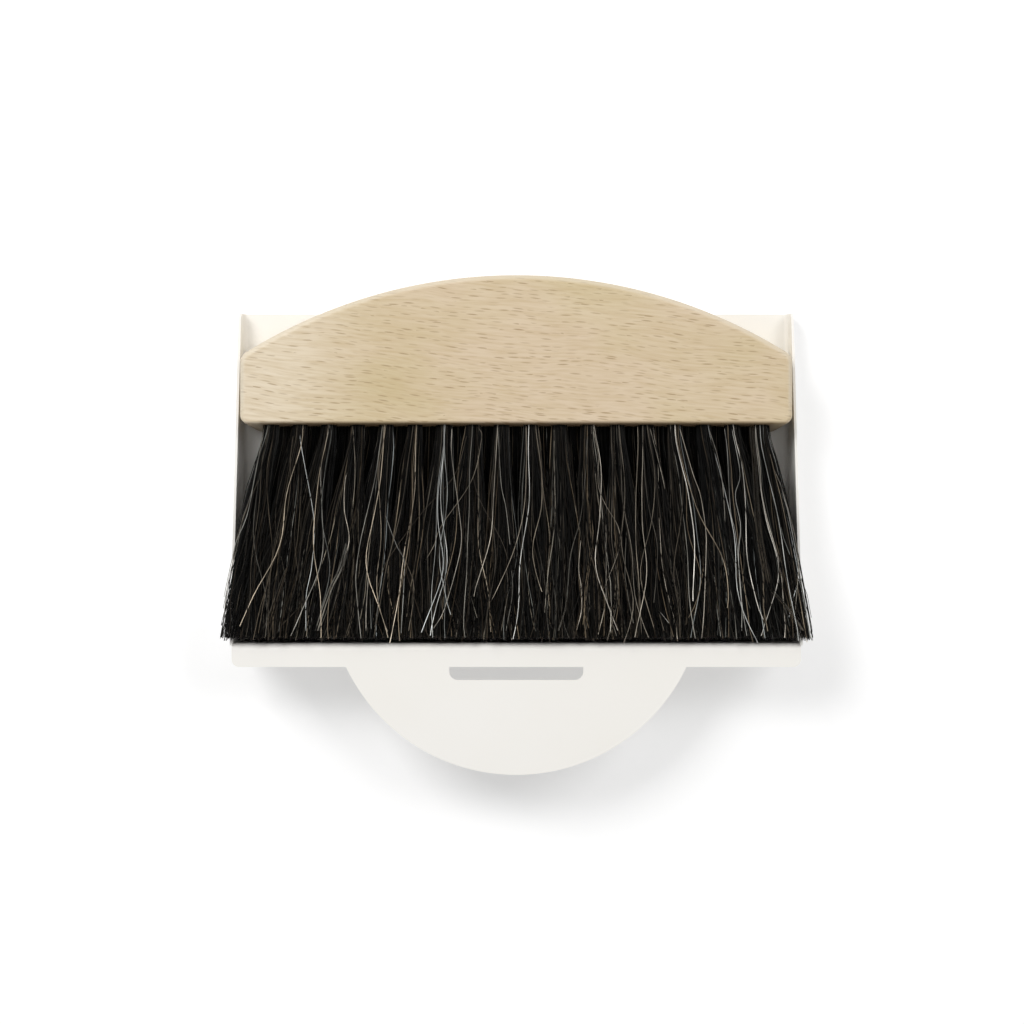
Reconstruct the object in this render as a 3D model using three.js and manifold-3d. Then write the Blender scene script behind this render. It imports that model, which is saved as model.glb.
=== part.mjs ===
// Dustpan and brush: a folded sheet-steel pan with a beech brush lying in it, held by two magnets.
// Millimetres, +Z up. X runs across the pan, +Y towards its lip. The set stands on z = 0,
// centred in X and Y on the whole set.

import * as THREE from 'three';
import { mergeVertices } from 'three/addons/utils/BufferGeometryUtils.js';
import Module from 'manifold-3d';

// ---- Driving dimensions ----

// Pan, one blank of sheet steel
const sheet = 1; // thickness, coating included
const bendRadius = 2; // inside radius of every fold
const panWidth = 224.8; // between the side walls, at the floor
const panDepth = 134.3; // rear wall to lip, along the floor
const wallLean = 2.9; // degrees that the side walls lean outwards
const wallHeight = 32; // top of the rear wall, of the flange and of the handle
const lipRimHeight = 9; // side wall's height at the lip
const rimCornerRadius = 4; // side wall's front top corner
const flangeDepth = 9.6; // rear wall's inner face to the flange's free edge
const flangeCornerRadius = 3;
const flangeOverlap = 0.3; // flange's end past the side wall's inner face, welded to it
const handleWidth = 136.7; // chord of the half-round handle, along the flange's edge
const handleReach = 43.3; // handle's tip beyond the flange's edge
const slotWidth = 53.8; // hanging slot
const slotHeight = 5.2;
const slotCornerRadius = 3.5; // its two corners towards the handle's tip

// Brush block, beech
const seatGap = 0.3; // between faces that rest on or in each other
const sideClearance = 1.1; // block's end to the side wall, at the floor
const lipToBristles = 46.1; // lip to the bristle face's upper edge
const blockDepth = 59.9; // bristle face's upper edge to the crown of the arched back
const blockEndDepth = 27.4; // bristle face's upper edge to where the arch meets the ends
const faceLean = 2.8; // how much further the bristle face reaches at its lower edge
const blockShoulderRadius = 2.6; // flat faces' corners under the arch
const blockCornerRadius = 0.8; // upper flat face's corners at the bristle face
const blockFootRadius = 5.6; // lower flat face's corners at the bristle face
const edgeRound = 2.6; // round-over of the long edges at the back and the ends
const faceEdgeRound = 1.5; // round-over of the edges at the bristle face

// Magnets, discs in blind holes in the block's underside
const magnetDiameter = 12;
const magnetThickness = 3;
const magnetChamfer = 0.4;
const magnetSpacing = 140; // between their centres
const magnetInset = 22; // bristle face to their centres

// Bristles, set in staggered rows of tufts. A tuft's strands lie in two layers.
const tuftsPerRow = 18; // every other row has one less
const rowCount = 4;
const rowPitch = 5.35;
const rowMargin = 5.98; // outer rows' centres to the block's flat faces
const tuftMargin = 12.45; // outer tufts' centres to the block's ends
const tipClearance = 2.4; // tips to the rear wall
const strandsAcross = 3; // strands of one layer of a tuft
const strandSpacing = 2.6; // between them, at the root
const layerSpacing = 2; // between the layers, at the root
const tipLayerSpacing = 3.3; // between the layers, at the tips
const strandRadius = 0.8; // of the circle round a strand's three corners, at the root
const tipRadius = 0.5; // the same at the tip
const tipOverhang = 4; // top row's tips beyond the pan's width, above the side walls
const tipSideClearance = 2.2; // lower rows' tips to the side walls
const tipFloorClearance = 1; // lowest tips to the floor
const tipRimClearance = 0.8; // top row's tips to the rim below them
const tipScatter = 1.6; // how far the strands differ in length
const kneeLength = 0.45; // share of a strand's length up to its knee
const kneeFan = 0.62; // share of its sideways fan that it has there
const sliceDepth = 3; // slice of the bristle face that carries a row
const sliceMargin = 1.5; // slice's end past its outer strands

const filletLimit = 0.9; // of a wall's height, the most that the fillet in it takes
const chordError = 0.02; // how far a facet may lie inside its true arc
const beyond = 5; // how far a cutting solid reaches past what it cuts

// ---- Sizes that follow ----
// Y is measured from the rear wall's inner face, until the whole set is centred at the end.

const wallSlope = Math.tan(THREE.MathUtils.degToRad(wallLean));
const wallAcross = sheet / Math.cos(THREE.MathUtils.degToRad(wallLean)); // thickness along X
const outerBend = bendRadius + sheet;
const innerHalfAt = (z) => panWidth / 2 + (z - sheet) * wallSlope;
const outerHalfAt = (z) => innerHalfAt(z) + wallAcross;
const handleTipY = -flangeDepth - handleReach;
const farOut = outerHalfAt(wallHeight) + beyond;
const openTop = wallHeight + beyond;

const blockLength = panWidth - 2 * sideClearance;
const blockThickness = (rowCount - 1) * rowPitch + 2 * rowMargin;
const blockBottom = sheet + seatGap;
const bristleFaceY = panDepth - lipToBristles; // at its upper edge
const bristleLength = bristleFaceY - tipClearance;
const crownY = bristleFaceY + blockDepth;
const heightShare = (z) => (z - blockBottom) / blockThickness;
const bristleFaceAt = (z) => bristleFaceY - faceLean * (1 - heightShare(z));

const tuftPitch = (blockLength - 2 * tuftMargin) / (tuftsPerRow - 1);
const outerTuftX = ((tuftsPerRow - 1) / 2) * tuftPitch;
const layerShift = strandSpacing / 4; // the layers are set off sideways from each other
const tuftHalfWidth = ((strandsAcross - 1) / 2) * strandSpacing + layerShift;
const sliceHalfLength = outerTuftX + tuftHalfWidth + sliceMargin;
const rowZ = (row) => blockBottom + rowMargin + row * rowPitch;

// ---- Outlines and solids ----

const wasm = await Module();
wasm.setup();

// How many facets keep within chordError of an arc.
function facets(radius, sweep) {
  const widest = 2 * Math.acos(1 - chordError / radius);
  return Math.max(2, Math.ceil(Math.abs(sweep) / widest));
}

function arc(centreX, centreY, radius, from, to, steps = facets(radius, to - from)) {
  return Array.from({ length: steps + 1 }, (_, i) => {
    const angle = THREE.MathUtils.lerp(from, to, i / steps);
    return new THREE.Vector2(
      centreX + radius * Math.cos(angle),
      centreY + radius * Math.sin(angle),
    );
  });
}

// A closed outline through [x, y] corners. A third number is the corner's radius.
function outline(corners) {
  const points = corners.flatMap(([x, y, radius], i) => {
    const corner = new THREE.Vector2(x, y);
    if (!radius) return [corner];
    const [beforeX, beforeY] = corners.at(i - 1);
    const [afterX, afterY] = corners[(i + 1) % corners.length];
    const back = new THREE.Vector2(beforeX, beforeY).sub(corner).normalize();
    const on = new THREE.Vector2(afterX, afterY).sub(corner).normalize();
    const half = Math.acos(back.dot(on)) / 2;
    const middle = back.clone().add(on).setLength(radius / Math.sin(half)).add(corner);
    const turn = Math.sign(on.cross(back));
    const from = back.angle() + (turn * Math.PI) / 2;
    return arc(middle.x, middle.y, radius, from, from + turn * (Math.PI - 2 * half));
  });
  return new THREE.Shape(points);
}

function asSolid(geometry) {
  const bare = geometry.clone();
  bare.deleteAttribute('normal');
  bare.deleteAttribute('uv');
  const merged = mergeVertices(bare, 1e-4);
  return new wasm.Manifold(
    new wasm.Mesh({
      numProp: 3,
      vertProperties: new Float32Array(merged.attributes.position.array),
      triVerts: new Uint32Array(merged.index.array),
    }),
  );
}

function asMesh(name, solid, material) {
  const { vertProperties, triVerts } = solid.getMesh();
  const geometry = new THREE.BufferGeometry();
  geometry.setAttribute('position', new THREE.BufferAttribute(vertProperties, 3));
  geometry.setIndex(new THREE.BufferAttribute(triVerts, 1));
  geometry.computeVertexNormals();
  const mesh = new THREE.Mesh(geometry, material);
  mesh.name = name;
  return mesh;
}

// A cuboid from its lowest corner to its highest.
function cuboid(low, high) {
  const size = high.map((top, i) => top - low[i]);
  const middle = high.map((top, i) => (top + low[i]) / 2);
  return asSolid(new THREE.BoxGeometry(...size).translate(...middle));
}

// A plan (x, y) carried upwards from one height to another.
function raised(plan, fromZ, toZ) {
  const geometry = new THREE.ExtrudeGeometry(plan, { depth: toZ - fromZ, bevelEnabled: false });
  return asSolid(geometry.translate(0, 0, fromZ));
}

// A section (x, z) carried along Y.
function carriedAlongY(section, fromY, toY) {
  const geometry = new THREE.ExtrudeGeometry(section, { depth: toY - fromY, bevelEnabled: false });
  return asSolid(geometry.rotateX(Math.PI / 2).translate(0, toY, 0));
}

// A side view (y, z) carried along X, as far to the left as to the right.
function carriedAlongX(sideView, half = farOut) {
  const geometry = new THREE.ExtrudeGeometry(sideView, { depth: 2 * half, bevelEnabled: false });
  const alongX = new THREE.Matrix4().makeBasis(
    new THREE.Vector3(0, 1, 0),
    new THREE.Vector3(0, 0, 1),
    new THREE.Vector3(1, 0, 0),
  );
  return asSolid(geometry.applyMatrix4(alongX).translate(-half, 0, 0));
}

// ---- Dustpan: floor, walls, flange and handle, folded from one sheet ----

function innerSection() {
  return outline([
    [-innerHalfAt(openTop), openTop],
    [-panWidth / 2, sheet, bendRadius],
    [panWidth / 2, sheet, bendRadius],
    [innerHalfAt(openTop), openTop],
  ]);
}

function outerSection() {
  return outline([
    [-outerHalfAt(openTop), openTop],
    [-outerHalfAt(0), 0, outerBend],
    [outerHalfAt(0), 0, outerBend],
    [outerHalfAt(openTop), openTop],
  ]);
}

// The tray is what is left between an outer and an inner form. Both are rounded at the folds,
// so the folds of the side walls and of the rear wall meet in a mitre at the corners.
function tray() {
  const outerForm = carriedAlongY(outerSection(), -sheet - beyond, panDepth + beyond).intersect(
    carriedAlongX(
      outline([
        [-sheet, wallHeight],
        [-sheet, 0, outerBend],
        [panDepth, 0],
        [panDepth, lipRimHeight, Math.min(rimCornerRadius, filletLimit * lipRimHeight)],
        [0, wallHeight],
      ]),
    ),
  );
  const innerForm = carriedAlongY(innerSection(), 0, panDepth + beyond).intersect(
    carriedAlongX(
      outline([
        [0, openTop],
        [0, sheet, bendRadius],
        [panDepth + beyond, sheet],
        [panDepth + beyond, openTop],
      ]),
    ),
  );
  return outerForm.subtract(innerForm);
}

// The rear wall's top is folded outwards and runs on, flat, as flange and handle.
function flangeAndHandle() {
  const foldStart = wallHeight - outerBend - sheet;
  const folded = carriedAlongX(
    outline([
      [0, foldStart],
      [0, wallHeight, outerBend],
      [handleTipY - beyond, wallHeight],
      [handleTipY - beyond, wallHeight - sheet],
      [-sheet, wallHeight - sheet, bendRadius],
      [-sheet, foldStart],
    ]),
  );
  const flangeHalf = innerHalfAt(wallHeight) + flangeOverlap;
  const flangePlan = outline([
    [-flangeHalf, beyond],
    [-flangeHalf, -flangeDepth, flangeCornerRadius],
    [flangeHalf, -flangeDepth, flangeCornerRadius],
    [flangeHalf, beyond],
  ]);
  const blank = raised(flangePlan, 0, openTop).add(raised(handlePlan(), 0, openTop));
  return folded.intersect(blank).subtract(raised(slotPlan(), 0, openTop));
}

// A segment of a circle on the flange's edge, with a root that lies within the flange.
function handlePlan() {
  const halfChord = handleWidth / 2;
  const radius = (halfChord ** 2 + handleReach ** 2) / (2 * handleReach);
  const centreY = handleTipY + radius;
  const end = Math.atan2(-flangeDepth - centreY, halfChord);
  return new THREE.Shape([
    new THREE.Vector2(-halfChord, -flangeDepth / 2),
    ...arc(0, centreY, radius, -Math.PI - end, end),
    new THREE.Vector2(halfChord, -flangeDepth / 2),
  ]);
}

// The hanging slot starts in line with the flange's edge.
function slotPlan() {
  const half = slotWidth / 2;
  const corner = Math.min(slotCornerRadius, filletLimit * slotHeight);
  return outline([
    [-half, -flangeDepth],
    [-half, -flangeDepth - slotHeight, corner],
    [half, -flangeDepth - slotHeight, corner],
    [half, -flangeDepth],
  ]);
}

function dustpan() {
  const squareTop = carriedAlongY(innerSection(), -sheet - beyond, 0).intersect(
    cuboid([-farOut, -sheet - beyond, wallHeight - outerBend], [farOut, 0, openTop]),
  );
  return tray().subtract(squareTop).add(flangeAndHandle());
}

// ---- Brush block ----

// How far a round-over has drawn a side in, at a depth behind the flat face that it runs into.
function drawnIn(depth, radius) {
  return radius - Math.sqrt(radius ** 2 - Math.max(radius - depth, 0) ** 2);
}

// The block's plan at one height, which lies at a depth behind the nearer flat face: a straight
// bristle face, short straight ends and an arched back. The flat faces' plan is grown outwards
// by the round-over, which leaves every plan with as many points.
function blockPlan(z, depth) {
  const grow = edgeRound - drawnIn(depth, edgeRound);
  const halfLength = blockLength / 2;
  const rise = blockDepth - blockEndDepth;
  const backRadius = (halfLength ** 2 + rise ** 2) / (2 * rise);
  const centreY = crownY - backRadius;
  const faceHalf = halfLength - edgeRound;
  const faceRadius = backRadius - edgeRound;
  const front = bristleFaceAt(z) + drawnIn(depth, faceEdgeRound);
  const radius = THREE.MathUtils.lerp(blockFootRadius, blockCornerRadius, heightShare(z));
  const cornerX = faceHalf - radius;
  const shoulderX = faceHalf - blockShoulderRadius;
  const shoulderY = centreY + Math.sqrt((faceRadius - blockShoulderRadius) ** 2 - shoulderX ** 2);
  const turn = Math.atan2(shoulderY - centreY, shoulderX);
  const cornerSteps = facets(blockFootRadius + edgeRound, Math.PI / 2);
  const shoulderSteps = facets(blockShoulderRadius + edgeRound, turn);
  const backSteps = facets(backRadius, Math.PI - 2 * turn);
  const corner = (x, from) =>
    arc(x, front + radius + grow, radius + grow, from, from + Math.PI / 2, cornerSteps);
  const shoulder = (x, from) =>
    arc(x, shoulderY, blockShoulderRadius + grow, from, from + turn, shoulderSteps);
  return [
    ...corner(-cornerX, Math.PI),
    ...corner(cornerX, 1.5 * Math.PI),
    ...shoulder(shoulderX, 0),
    ...arc(0, centreY, faceRadius + grow, turn, Math.PI - turn, backSteps).slice(1, -1),
    ...shoulder(-shoulderX, Math.PI - turn),
  ];
}

// A solid through plans at rising heights, each with as many points.
function lofted(levels) {
  const count = levels[0].plan.length;
  const points = levels.flatMap(({ plan, z }) => plan.map(({ x, y }) => [x, y, z]));
  const lid = THREE.ShapeUtils.triangulateShape(levels[0].plan, []);
  const top = (levels.length - 1) * count;
  const faces = lid.flatMap(([a, b, c]) => [
    [c, b, a],
    [top + a, top + b, top + c],
  ]);
  for (let ring = 0; ring < top; ring += count) {
    for (let i = 0; i < count; i += 1) {
      const here = ring + i;
      const beside = ring + ((i + 1) % count);
      faces.push([here, beside, beside + count], [here, beside + count, here + count]);
    }
  }
  const geometry = new THREE.BufferGeometry();
  geometry.setAttribute('position', new THREE.Float32BufferAttribute(points.flat(), 3));
  geometry.setIndex(faces.flat());
  return asSolid(geometry);
}

// A band of the bristle face, from one height to another, that reaches from before it to behind.
function faceBand(half, fromZ, toZ, before, behind) {
  const sideView = outline([
    [bristleFaceAt(fromZ) - before, fromZ],
    [bristleFaceAt(fromZ) + behind, fromZ],
    [bristleFaceAt(toZ) + behind, toZ],
    [bristleFaceAt(toZ) - before, toZ],
  ]);
  return carriedAlongX(sideView, half);
}

// The bristle face is sunk by the depth of the slices that carry the rows of tufts.
function recessForRows() {
  const half = sliceHalfLength + seatGap;
  const margin = (rowPitch + seatGap) / 2;
  const top = rowZ(rowCount - 1) + margin;
  return faceBand(half, rowZ(0) - margin, top, beyond, sliceDepth + seatGap);
}

// Moves a shape that stands on z = 0 to a magnet's place: side is -1 on the left, 1 on the right.
function atMagnet(side, geometry, z) {
  return asSolid(geometry.translate((side * magnetSpacing) / 2, bristleFaceY + magnetInset, z));
}

function magnetHole(side) {
  const radius = magnetDiameter / 2 + seatGap;
  const depth = beyond + magnetThickness + seatGap;
  const sides = facets(radius, 2 * Math.PI);
  const cylinder = new THREE.CylinderGeometry(radius, radius, depth, sides).rotateX(Math.PI / 2);
  return atMagnet(side, cylinder.translate(0, 0, depth / 2), blockBottom - beyond);
}

// A disc about its own axis, with chamfered rims.
function magnet(side) {
  const radius = magnetDiameter / 2;
  const profile = [
    [0, 0],
    [radius - magnetChamfer, 0],
    [radius, magnetChamfer],
    [radius, magnetThickness - magnetChamfer],
    [radius - magnetChamfer, magnetThickness],
    [0, magnetThickness],
  ].map(([x, y]) => new THREE.Vector2(x, y));
  const disc = new THREE.LatheGeometry(profile, facets(radius, 2 * Math.PI));
  return atMagnet(side, disc.rotateX(Math.PI / 2), blockBottom);
}

function brushBlock() {
  const widest = Math.max(edgeRound, faceEdgeRound);
  const turns = facets(widest, Math.PI / 2);
  const depths = Array.from(
    { length: turns + 1 },
    (_, i) => widest * (1 - Math.cos((i / turns) * (Math.PI / 2))),
  );
  const level = (z, depth) => ({ plan: blockPlan(z, depth), z });
  const blockTop = blockBottom + blockThickness;
  return lofted([
    ...depths.map((depth) => level(blockBottom + depth, depth)),
    ...depths.reverse().map((depth) => level(blockTop - depth, depth)),
  ])
    .subtract(recessForRows())
    .subtract(magnetHole(-1))
    .subtract(magnetHole(1));
}

// ---- Bristles ----

// One strand, a thin three-sided prism from inside the slice, by its knee, to its tip. Each
// station has a centre and a radius, and all sections lie square to Y.
function strand(stations, pointUp) {
  const sides = 3;
  const corners = stations.flatMap(({ centre, radius }) =>
    Array.from({ length: sides }, (_, i) => {
      const angle = ((pointUp ? 0.5 : -0.5) + (2 * i) / sides) * Math.PI;
      return [centre.x + radius * Math.cos(angle), centre.y, centre.z + radius * Math.sin(angle)];
    }),
  );
  const last = (stations.length - 1) * sides;
  const faces = [
    [2, 1, 0],
    [last, last + 1, last + 2],
  ];
  for (let ring = 0; ring < last; ring += sides) {
    for (let i = 0; i < sides; i += 1) {
      const here = ring + i;
      const beside = ring + ((i + 1) % sides);
      faces.push([here, beside, beside + sides], [here, beside + sides, here + sides]);
    }
  }
  return { corners, faces };
}

// A value from 0 to 1 that looks irregular from one index to the next, and is always the same.
function irregular(index) {
  const value = 43758.5453 * Math.sin(12.9898 * index);
  return value - Math.floor(value);
}

// How far the row fans out, and how high its tips lie. The top row passes over the side walls,
// and the rows below it stay between them.
function tipsOf(row) {
  const isTop = row === rowCount - 1;
  const half = panWidth / 2 + (isTop ? tipOverhang : -tipSideClearance) - tipRadius;
  const evenOut = tuftPitch / (strandsAcross * strandSpacing); // the tips are evenly spaced
  const lowest = sheet + tipFloorClearance + tipRadius + tipLayerSpacing / 2;
  const highest = wallHeight + tipRimClearance + tipRadius + tipLayerSpacing / 2;
  return {
    evenOut,
    fan: half / (outerTuftX + tuftHalfWidth * evenOut),
    z: THREE.MathUtils.lerp(lowest, highest, row / (rowCount - 1)),
  };
}

// A row's strands keep their order from root to tip, along the row and from layer to layer, so
// none of them cross.
function rowOfStrands(row) {
  const tips = tipsOf(row);
  const tufts = tuftsPerRow - ((rowCount - 1 - row) % 2);
  const corners = [];
  const faces = [];
  for (let count = 0; count < tufts * 2 * strandsAcross; count += 1) {
    const tuftX = (Math.floor(count / (2 * strandsAcross)) - (tufts - 1) / 2) * tuftPitch;
    const side = Math.floor(count / strandsAcross) % 2 ? 1 : -1; // upper or lower layer
    const across = (count % strandsAcross) - (strandsAcross - 1) / 2;
    const offset = across * strandSpacing - side * layerShift;
    const length = bristleLength - tipScatter * irregular(count + row);
    const root = new THREE.Vector3(
      tuftX + offset,
      bristleFaceAt(rowZ(row)) + sliceDepth / 2,
      rowZ(row) + (side * layerSpacing) / 2,
    );
    const tip = new THREE.Vector3(
      tips.fan * (tuftX + offset * tips.evenOut),
      bristleFaceY - length,
      tips.z + (side * tipLayerSpacing) / 2,
    );
    const knee = new THREE.Vector3(
      THREE.MathUtils.lerp(root.x, tip.x, kneeFan),
      bristleFaceY - kneeLength * bristleLength,
      THREE.MathUtils.lerp(root.z, tip.z, kneeLength),
    );
    const stations = [
      { centre: root, radius: strandRadius },
      { centre: knee, radius: (strandRadius + tipRadius) / 2 },
      { centre: tip, radius: tipRadius },
    ];
    const one = strand(stations, side > 0);
    const first = corners.length;
    corners.push(...one.corners);
    faces.push(...one.faces.map((face) => face.map((corner) => first + corner)));
  }
  const geometry = new THREE.BufferGeometry();
  geometry.setAttribute('position', new THREE.Float32BufferAttribute(corners.flat(), 3));
  geometry.setIndex(faces.flat());
  return asSolid(geometry);
}

// A row of tufts with the slice of the bristle face that it stands in.
function bristleRow(row) {
  const halfHeight = (rowPitch - seatGap) / 2;
  const slice = faceBand(
    sliceHalfLength,
    rowZ(row) - halfHeight,
    rowZ(row) + halfHeight,
    0,
    sliceDepth,
  );
  return slice.add(rowOfStrands(row));
}

// ---- The set ----

const powderCoat = new THREE.MeshStandardMaterial({ color: '#f2efe9', roughness: 0.5 });
const beech = new THREE.MeshStandardMaterial({ color: '#d5c3a3', roughness: 0.6 });
const nickel = new THREE.MeshStandardMaterial({ color: '#b9b8b4', roughness: 0.3, metalness: 1 });
const horsehair = new THREE.MeshStandardMaterial({ color: '#26221e', roughness: 0.55 });

const pan = new THREE.Group();
pan.add(asMesh('dustpan_sheet', dustpan(), powderCoat));

const brush = new THREE.Group();
brush.add(
  asMesh('brush_block', brushBlock(), beech),
  asMesh('magnet_left', magnet(-1), nickel),
  asMesh('magnet_right', magnet(1), nickel),
);
for (let row = 0; row < rowCount; row += 1) {
  brush.add(asMesh(`bristle_row_${row + 1}`, bristleRow(row), horsehair));
}

const set = new THREE.Group();
set.add(pan, brush);
set.position.y = -(handleTipY + crownY) / 2;

export default set;
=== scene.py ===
import math

import bmesh
import bpy
import numpy as np
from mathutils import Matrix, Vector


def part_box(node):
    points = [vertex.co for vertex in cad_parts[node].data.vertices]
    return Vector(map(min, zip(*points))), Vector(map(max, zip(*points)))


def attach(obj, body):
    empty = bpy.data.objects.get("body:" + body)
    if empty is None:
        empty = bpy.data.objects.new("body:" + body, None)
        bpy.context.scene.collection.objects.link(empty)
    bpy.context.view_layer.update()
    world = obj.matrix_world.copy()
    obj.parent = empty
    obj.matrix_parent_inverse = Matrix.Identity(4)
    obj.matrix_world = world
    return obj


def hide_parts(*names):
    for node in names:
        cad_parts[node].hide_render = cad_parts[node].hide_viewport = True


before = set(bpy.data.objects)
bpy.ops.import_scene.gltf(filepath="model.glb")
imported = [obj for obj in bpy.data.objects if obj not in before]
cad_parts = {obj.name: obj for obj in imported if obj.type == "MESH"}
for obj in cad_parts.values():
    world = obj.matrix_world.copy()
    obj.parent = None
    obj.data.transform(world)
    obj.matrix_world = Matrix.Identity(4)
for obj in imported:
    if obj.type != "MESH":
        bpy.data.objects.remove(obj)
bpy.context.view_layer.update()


# ---- Dustpan ----
# One blank of 1 mm sheet steel, cut to shape with its hanging slot. It is folded up at the sides
# and the rear, folded out again as flange and half-round handle, welded at the corners and
# powder coated in off-white.

MERGE_DISTANCE = 1e-6
FLAT_ANGLE = math.radians(0.5)  # triangles within this lie on one flat face
SHARP_ANGLE = math.radians(40)
COAT_EDGE = 0.00028  # the coat rounds the sheet's cut edges by its own thickness and a little more
COAT_EDGE_STEPS = 3
COAT_COLOUR = "#f3f1ed"
COAT_SHADE = "#efece5"
COAT_GLOSS = (0.40, 0.50)  # roughness in the peel's hollows and on its crests
ORANGE_PEEL = 0.0009  # wave length. The real one is about 0.4 mm, too fine to show
PEEL_BUMP = (0.35, 0.00004)  # strength and height of its bumps
CLOUDS = 0.045  # the coat's tone drifts over about the width of a spray pass


def linear(code):
    """An sRGB hex colour as the linear colour that the sockets take."""
    shares = [int(code[i : i + 2], 16) / 255 for i in (1, 3, 5)]
    return (*((c + 0.055) ** 2.4 / 1.055**2.4 if c > 0.04045 else c / 12.92 for c in shares), 1)


def add(tree, kind, inputs=None, **settings):
    """Adds a node and fills its sockets with values, sockets or other nodes' first outputs.

    Sockets go by name or number. A Map Range leads from 1 and 2 to 3 and 4. A Mix has its two ends
    at 2 and 3 if they are numbers, and at 6 and 7 if they are colours.
    """
    node = tree.nodes.new(kind)
    for name, value in settings.items():
        setattr(node, name, value)
    for name, value in (inputs or {}).items():
        for one in value if isinstance(value, list) else [value]:
            if isinstance(one, bpy.types.Node):
                one = one.outputs[0]
            if isinstance(one, bpy.types.NodeSocket):
                tree.links.new(one, node.inputs[name])
            else:
                node.inputs[name].default_value = one
    return node


def new_material(name):
    """An empty material and its node tree."""
    material = bpy.data.materials.new(name)
    material.use_nodes = True
    material.node_tree.nodes.clear()
    return material, material.node_tree


def link_piece(name, mesh, material):
    """A new object in the scene, with one material."""
    piece = bpy.data.objects.new(name, mesh)
    mesh.materials.clear()
    mesh.materials.append(material)
    bpy.context.scene.collection.objects.link(piece)
    return piece


def give_surface(tree, colour, relief, span, gloss, bump, **inputs):
    """Ends a material. Over a span of its relief the gloss changes, and the relief is felt as bumps."""
    rough = add(tree, "ShaderNodeMapRange", {0: relief, 1: span[0], 2: span[1], 3: gloss[0], 4: gloss[1]})
    felt = add(tree, "ShaderNodeBump", {"Height": relief, "Strength": bump[0], "Distance": bump[1]})
    surface = {"Base Color": colour, "Roughness": rough, "Normal": felt, **inputs}
    shader = add(tree, "ShaderNodeBsdfPrincipled", surface)
    add(tree, "ShaderNodeOutputMaterial", {"Surface": shader})


def powder_coat():
    """Polyester powder, sprayed dry and baked. It flows out to a satin skin with fine orange peel."""
    material, tree = new_material("polyester_powder_coat_satin")
    place = add(tree, "ShaderNodeTexCoord").outputs["Object"]
    clouds = add(tree, "ShaderNodeTexNoise", {"Vector": place, "Scale": 1 / CLOUDS, "Detail": 2.0})
    peel = add(tree, "ShaderNodeTexNoise", {"Vector": place, "Scale": 1 / ORANGE_PEEL, "Detail": 1.0})
    tones = {"Factor": clouds, 6: linear(COAT_COLOUR), 7: linear(COAT_SHADE)}
    tone = add(tree, "ShaderNodeMix", tones, data_type="RGBA")
    give_surface(tree, tone.outputs["Result"], peel, (0, 1), COAT_GLOSS, PEEL_BUMP)
    return material


def merged_copy(name, node):
    """A CAD node's mesh with its loose triangles merged and its flat faces made whole."""
    form = bmesh.new()
    form.from_mesh(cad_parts[node].data)
    bmesh.ops.remove_doubles(form, verts=form.verts, dist=MERGE_DISTANCE)
    bmesh.ops.dissolve_limit(form, angle_limit=FLAT_ANGLE, verts=form.verts, edges=form.edges)
    for face in form.faces:
        face.smooth = True
    mesh = bpy.data.meshes.new(name)
    form.to_mesh(mesh)
    form.free()
    if mesh.has_custom_normals:
        mesh.attributes.remove(mesh.attributes["custom_normal"])
    return mesh


def soften_edges(piece, radius, segments):
    """Rounds a piece's sharp edges and keeps its flat faces flat to the light."""
    bevel = piece.modifiers.new("edges", "BEVEL")
    bevel.width = radius
    bevel.segments = segments
    bevel.limit_method = "ANGLE"
    bevel.angle_limit = SHARP_ANGLE
    normals = piece.modifiers.new("normals", "WEIGHTED_NORMAL")
    normals.keep_sharp = True


dustpan = link_piece("dustpan", merged_copy("dustpan", "dustpan_sheet"), powder_coat())
soften_edges(dustpan, COAT_EDGE, COAT_EDGE_STEPS)
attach(dustpan, "pan")
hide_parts("dustpan_sheet")


# ---- Magnets ----
# Two neodymium discs, pressed, sintered and barrel plated with nickel. They are glued into blind
# holes in the block's underside, and hold the brush in the steel pan when the set hangs up.

NICKEL_COLOUR = "#b9b8b4"
NICKEL_GLOSS = (0.20, 0.36)  # roughness of the bright metal and of a scuff
SCUFF = 0.0005  # the barrel's fine scuffs, drawn three times as coarse as they are
SCUFF_SPAN = (0.3, 0.7)  # of the noise
SCUFF_BUMP = (0.15, 0.00002)
RIM_ROUND = 0.0004
RIM_STEPS = 4
DISC_SIDES = 72


def nickel_plating():
    """Bright nickel on a tumbled disc: a slightly warm grey mirror, dulled by fine scuffs."""
    material, tree = new_material("nickel_barrel_plated")
    place = add(tree, "ShaderNodeTexCoord").outputs["Object"]
    scuffs = add(tree, "ShaderNodeTexNoise", {"Vector": place, "Scale": 1 / SCUFF, "Detail": 3.0})
    colour = linear(NICKEL_COLOUR)
    give_surface(tree, colour, scuffs, SCUFF_SPAN, NICKEL_GLOSS, SCUFF_BUMP, Metallic=1.0)
    return material


def skin(name, rings):
    """A closed mesh over rings of points, from the lowest ring to the highest."""
    count = len(rings[0])
    last = (len(rings) - 1) * count
    faces = [tuple(range(count))[::-1], tuple(range(last, last + count))]
    for ring in range(0, last, count):
        for i in range(count):
            beside = ring + (i + 1) % count
            faces.append((ring + i, beside, beside + count, ring + i + count))
    mesh = bpy.data.meshes.new(name)
    mesh.from_pydata(np.vstack(rings).tolist(), [], faces)
    return mesh


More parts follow.
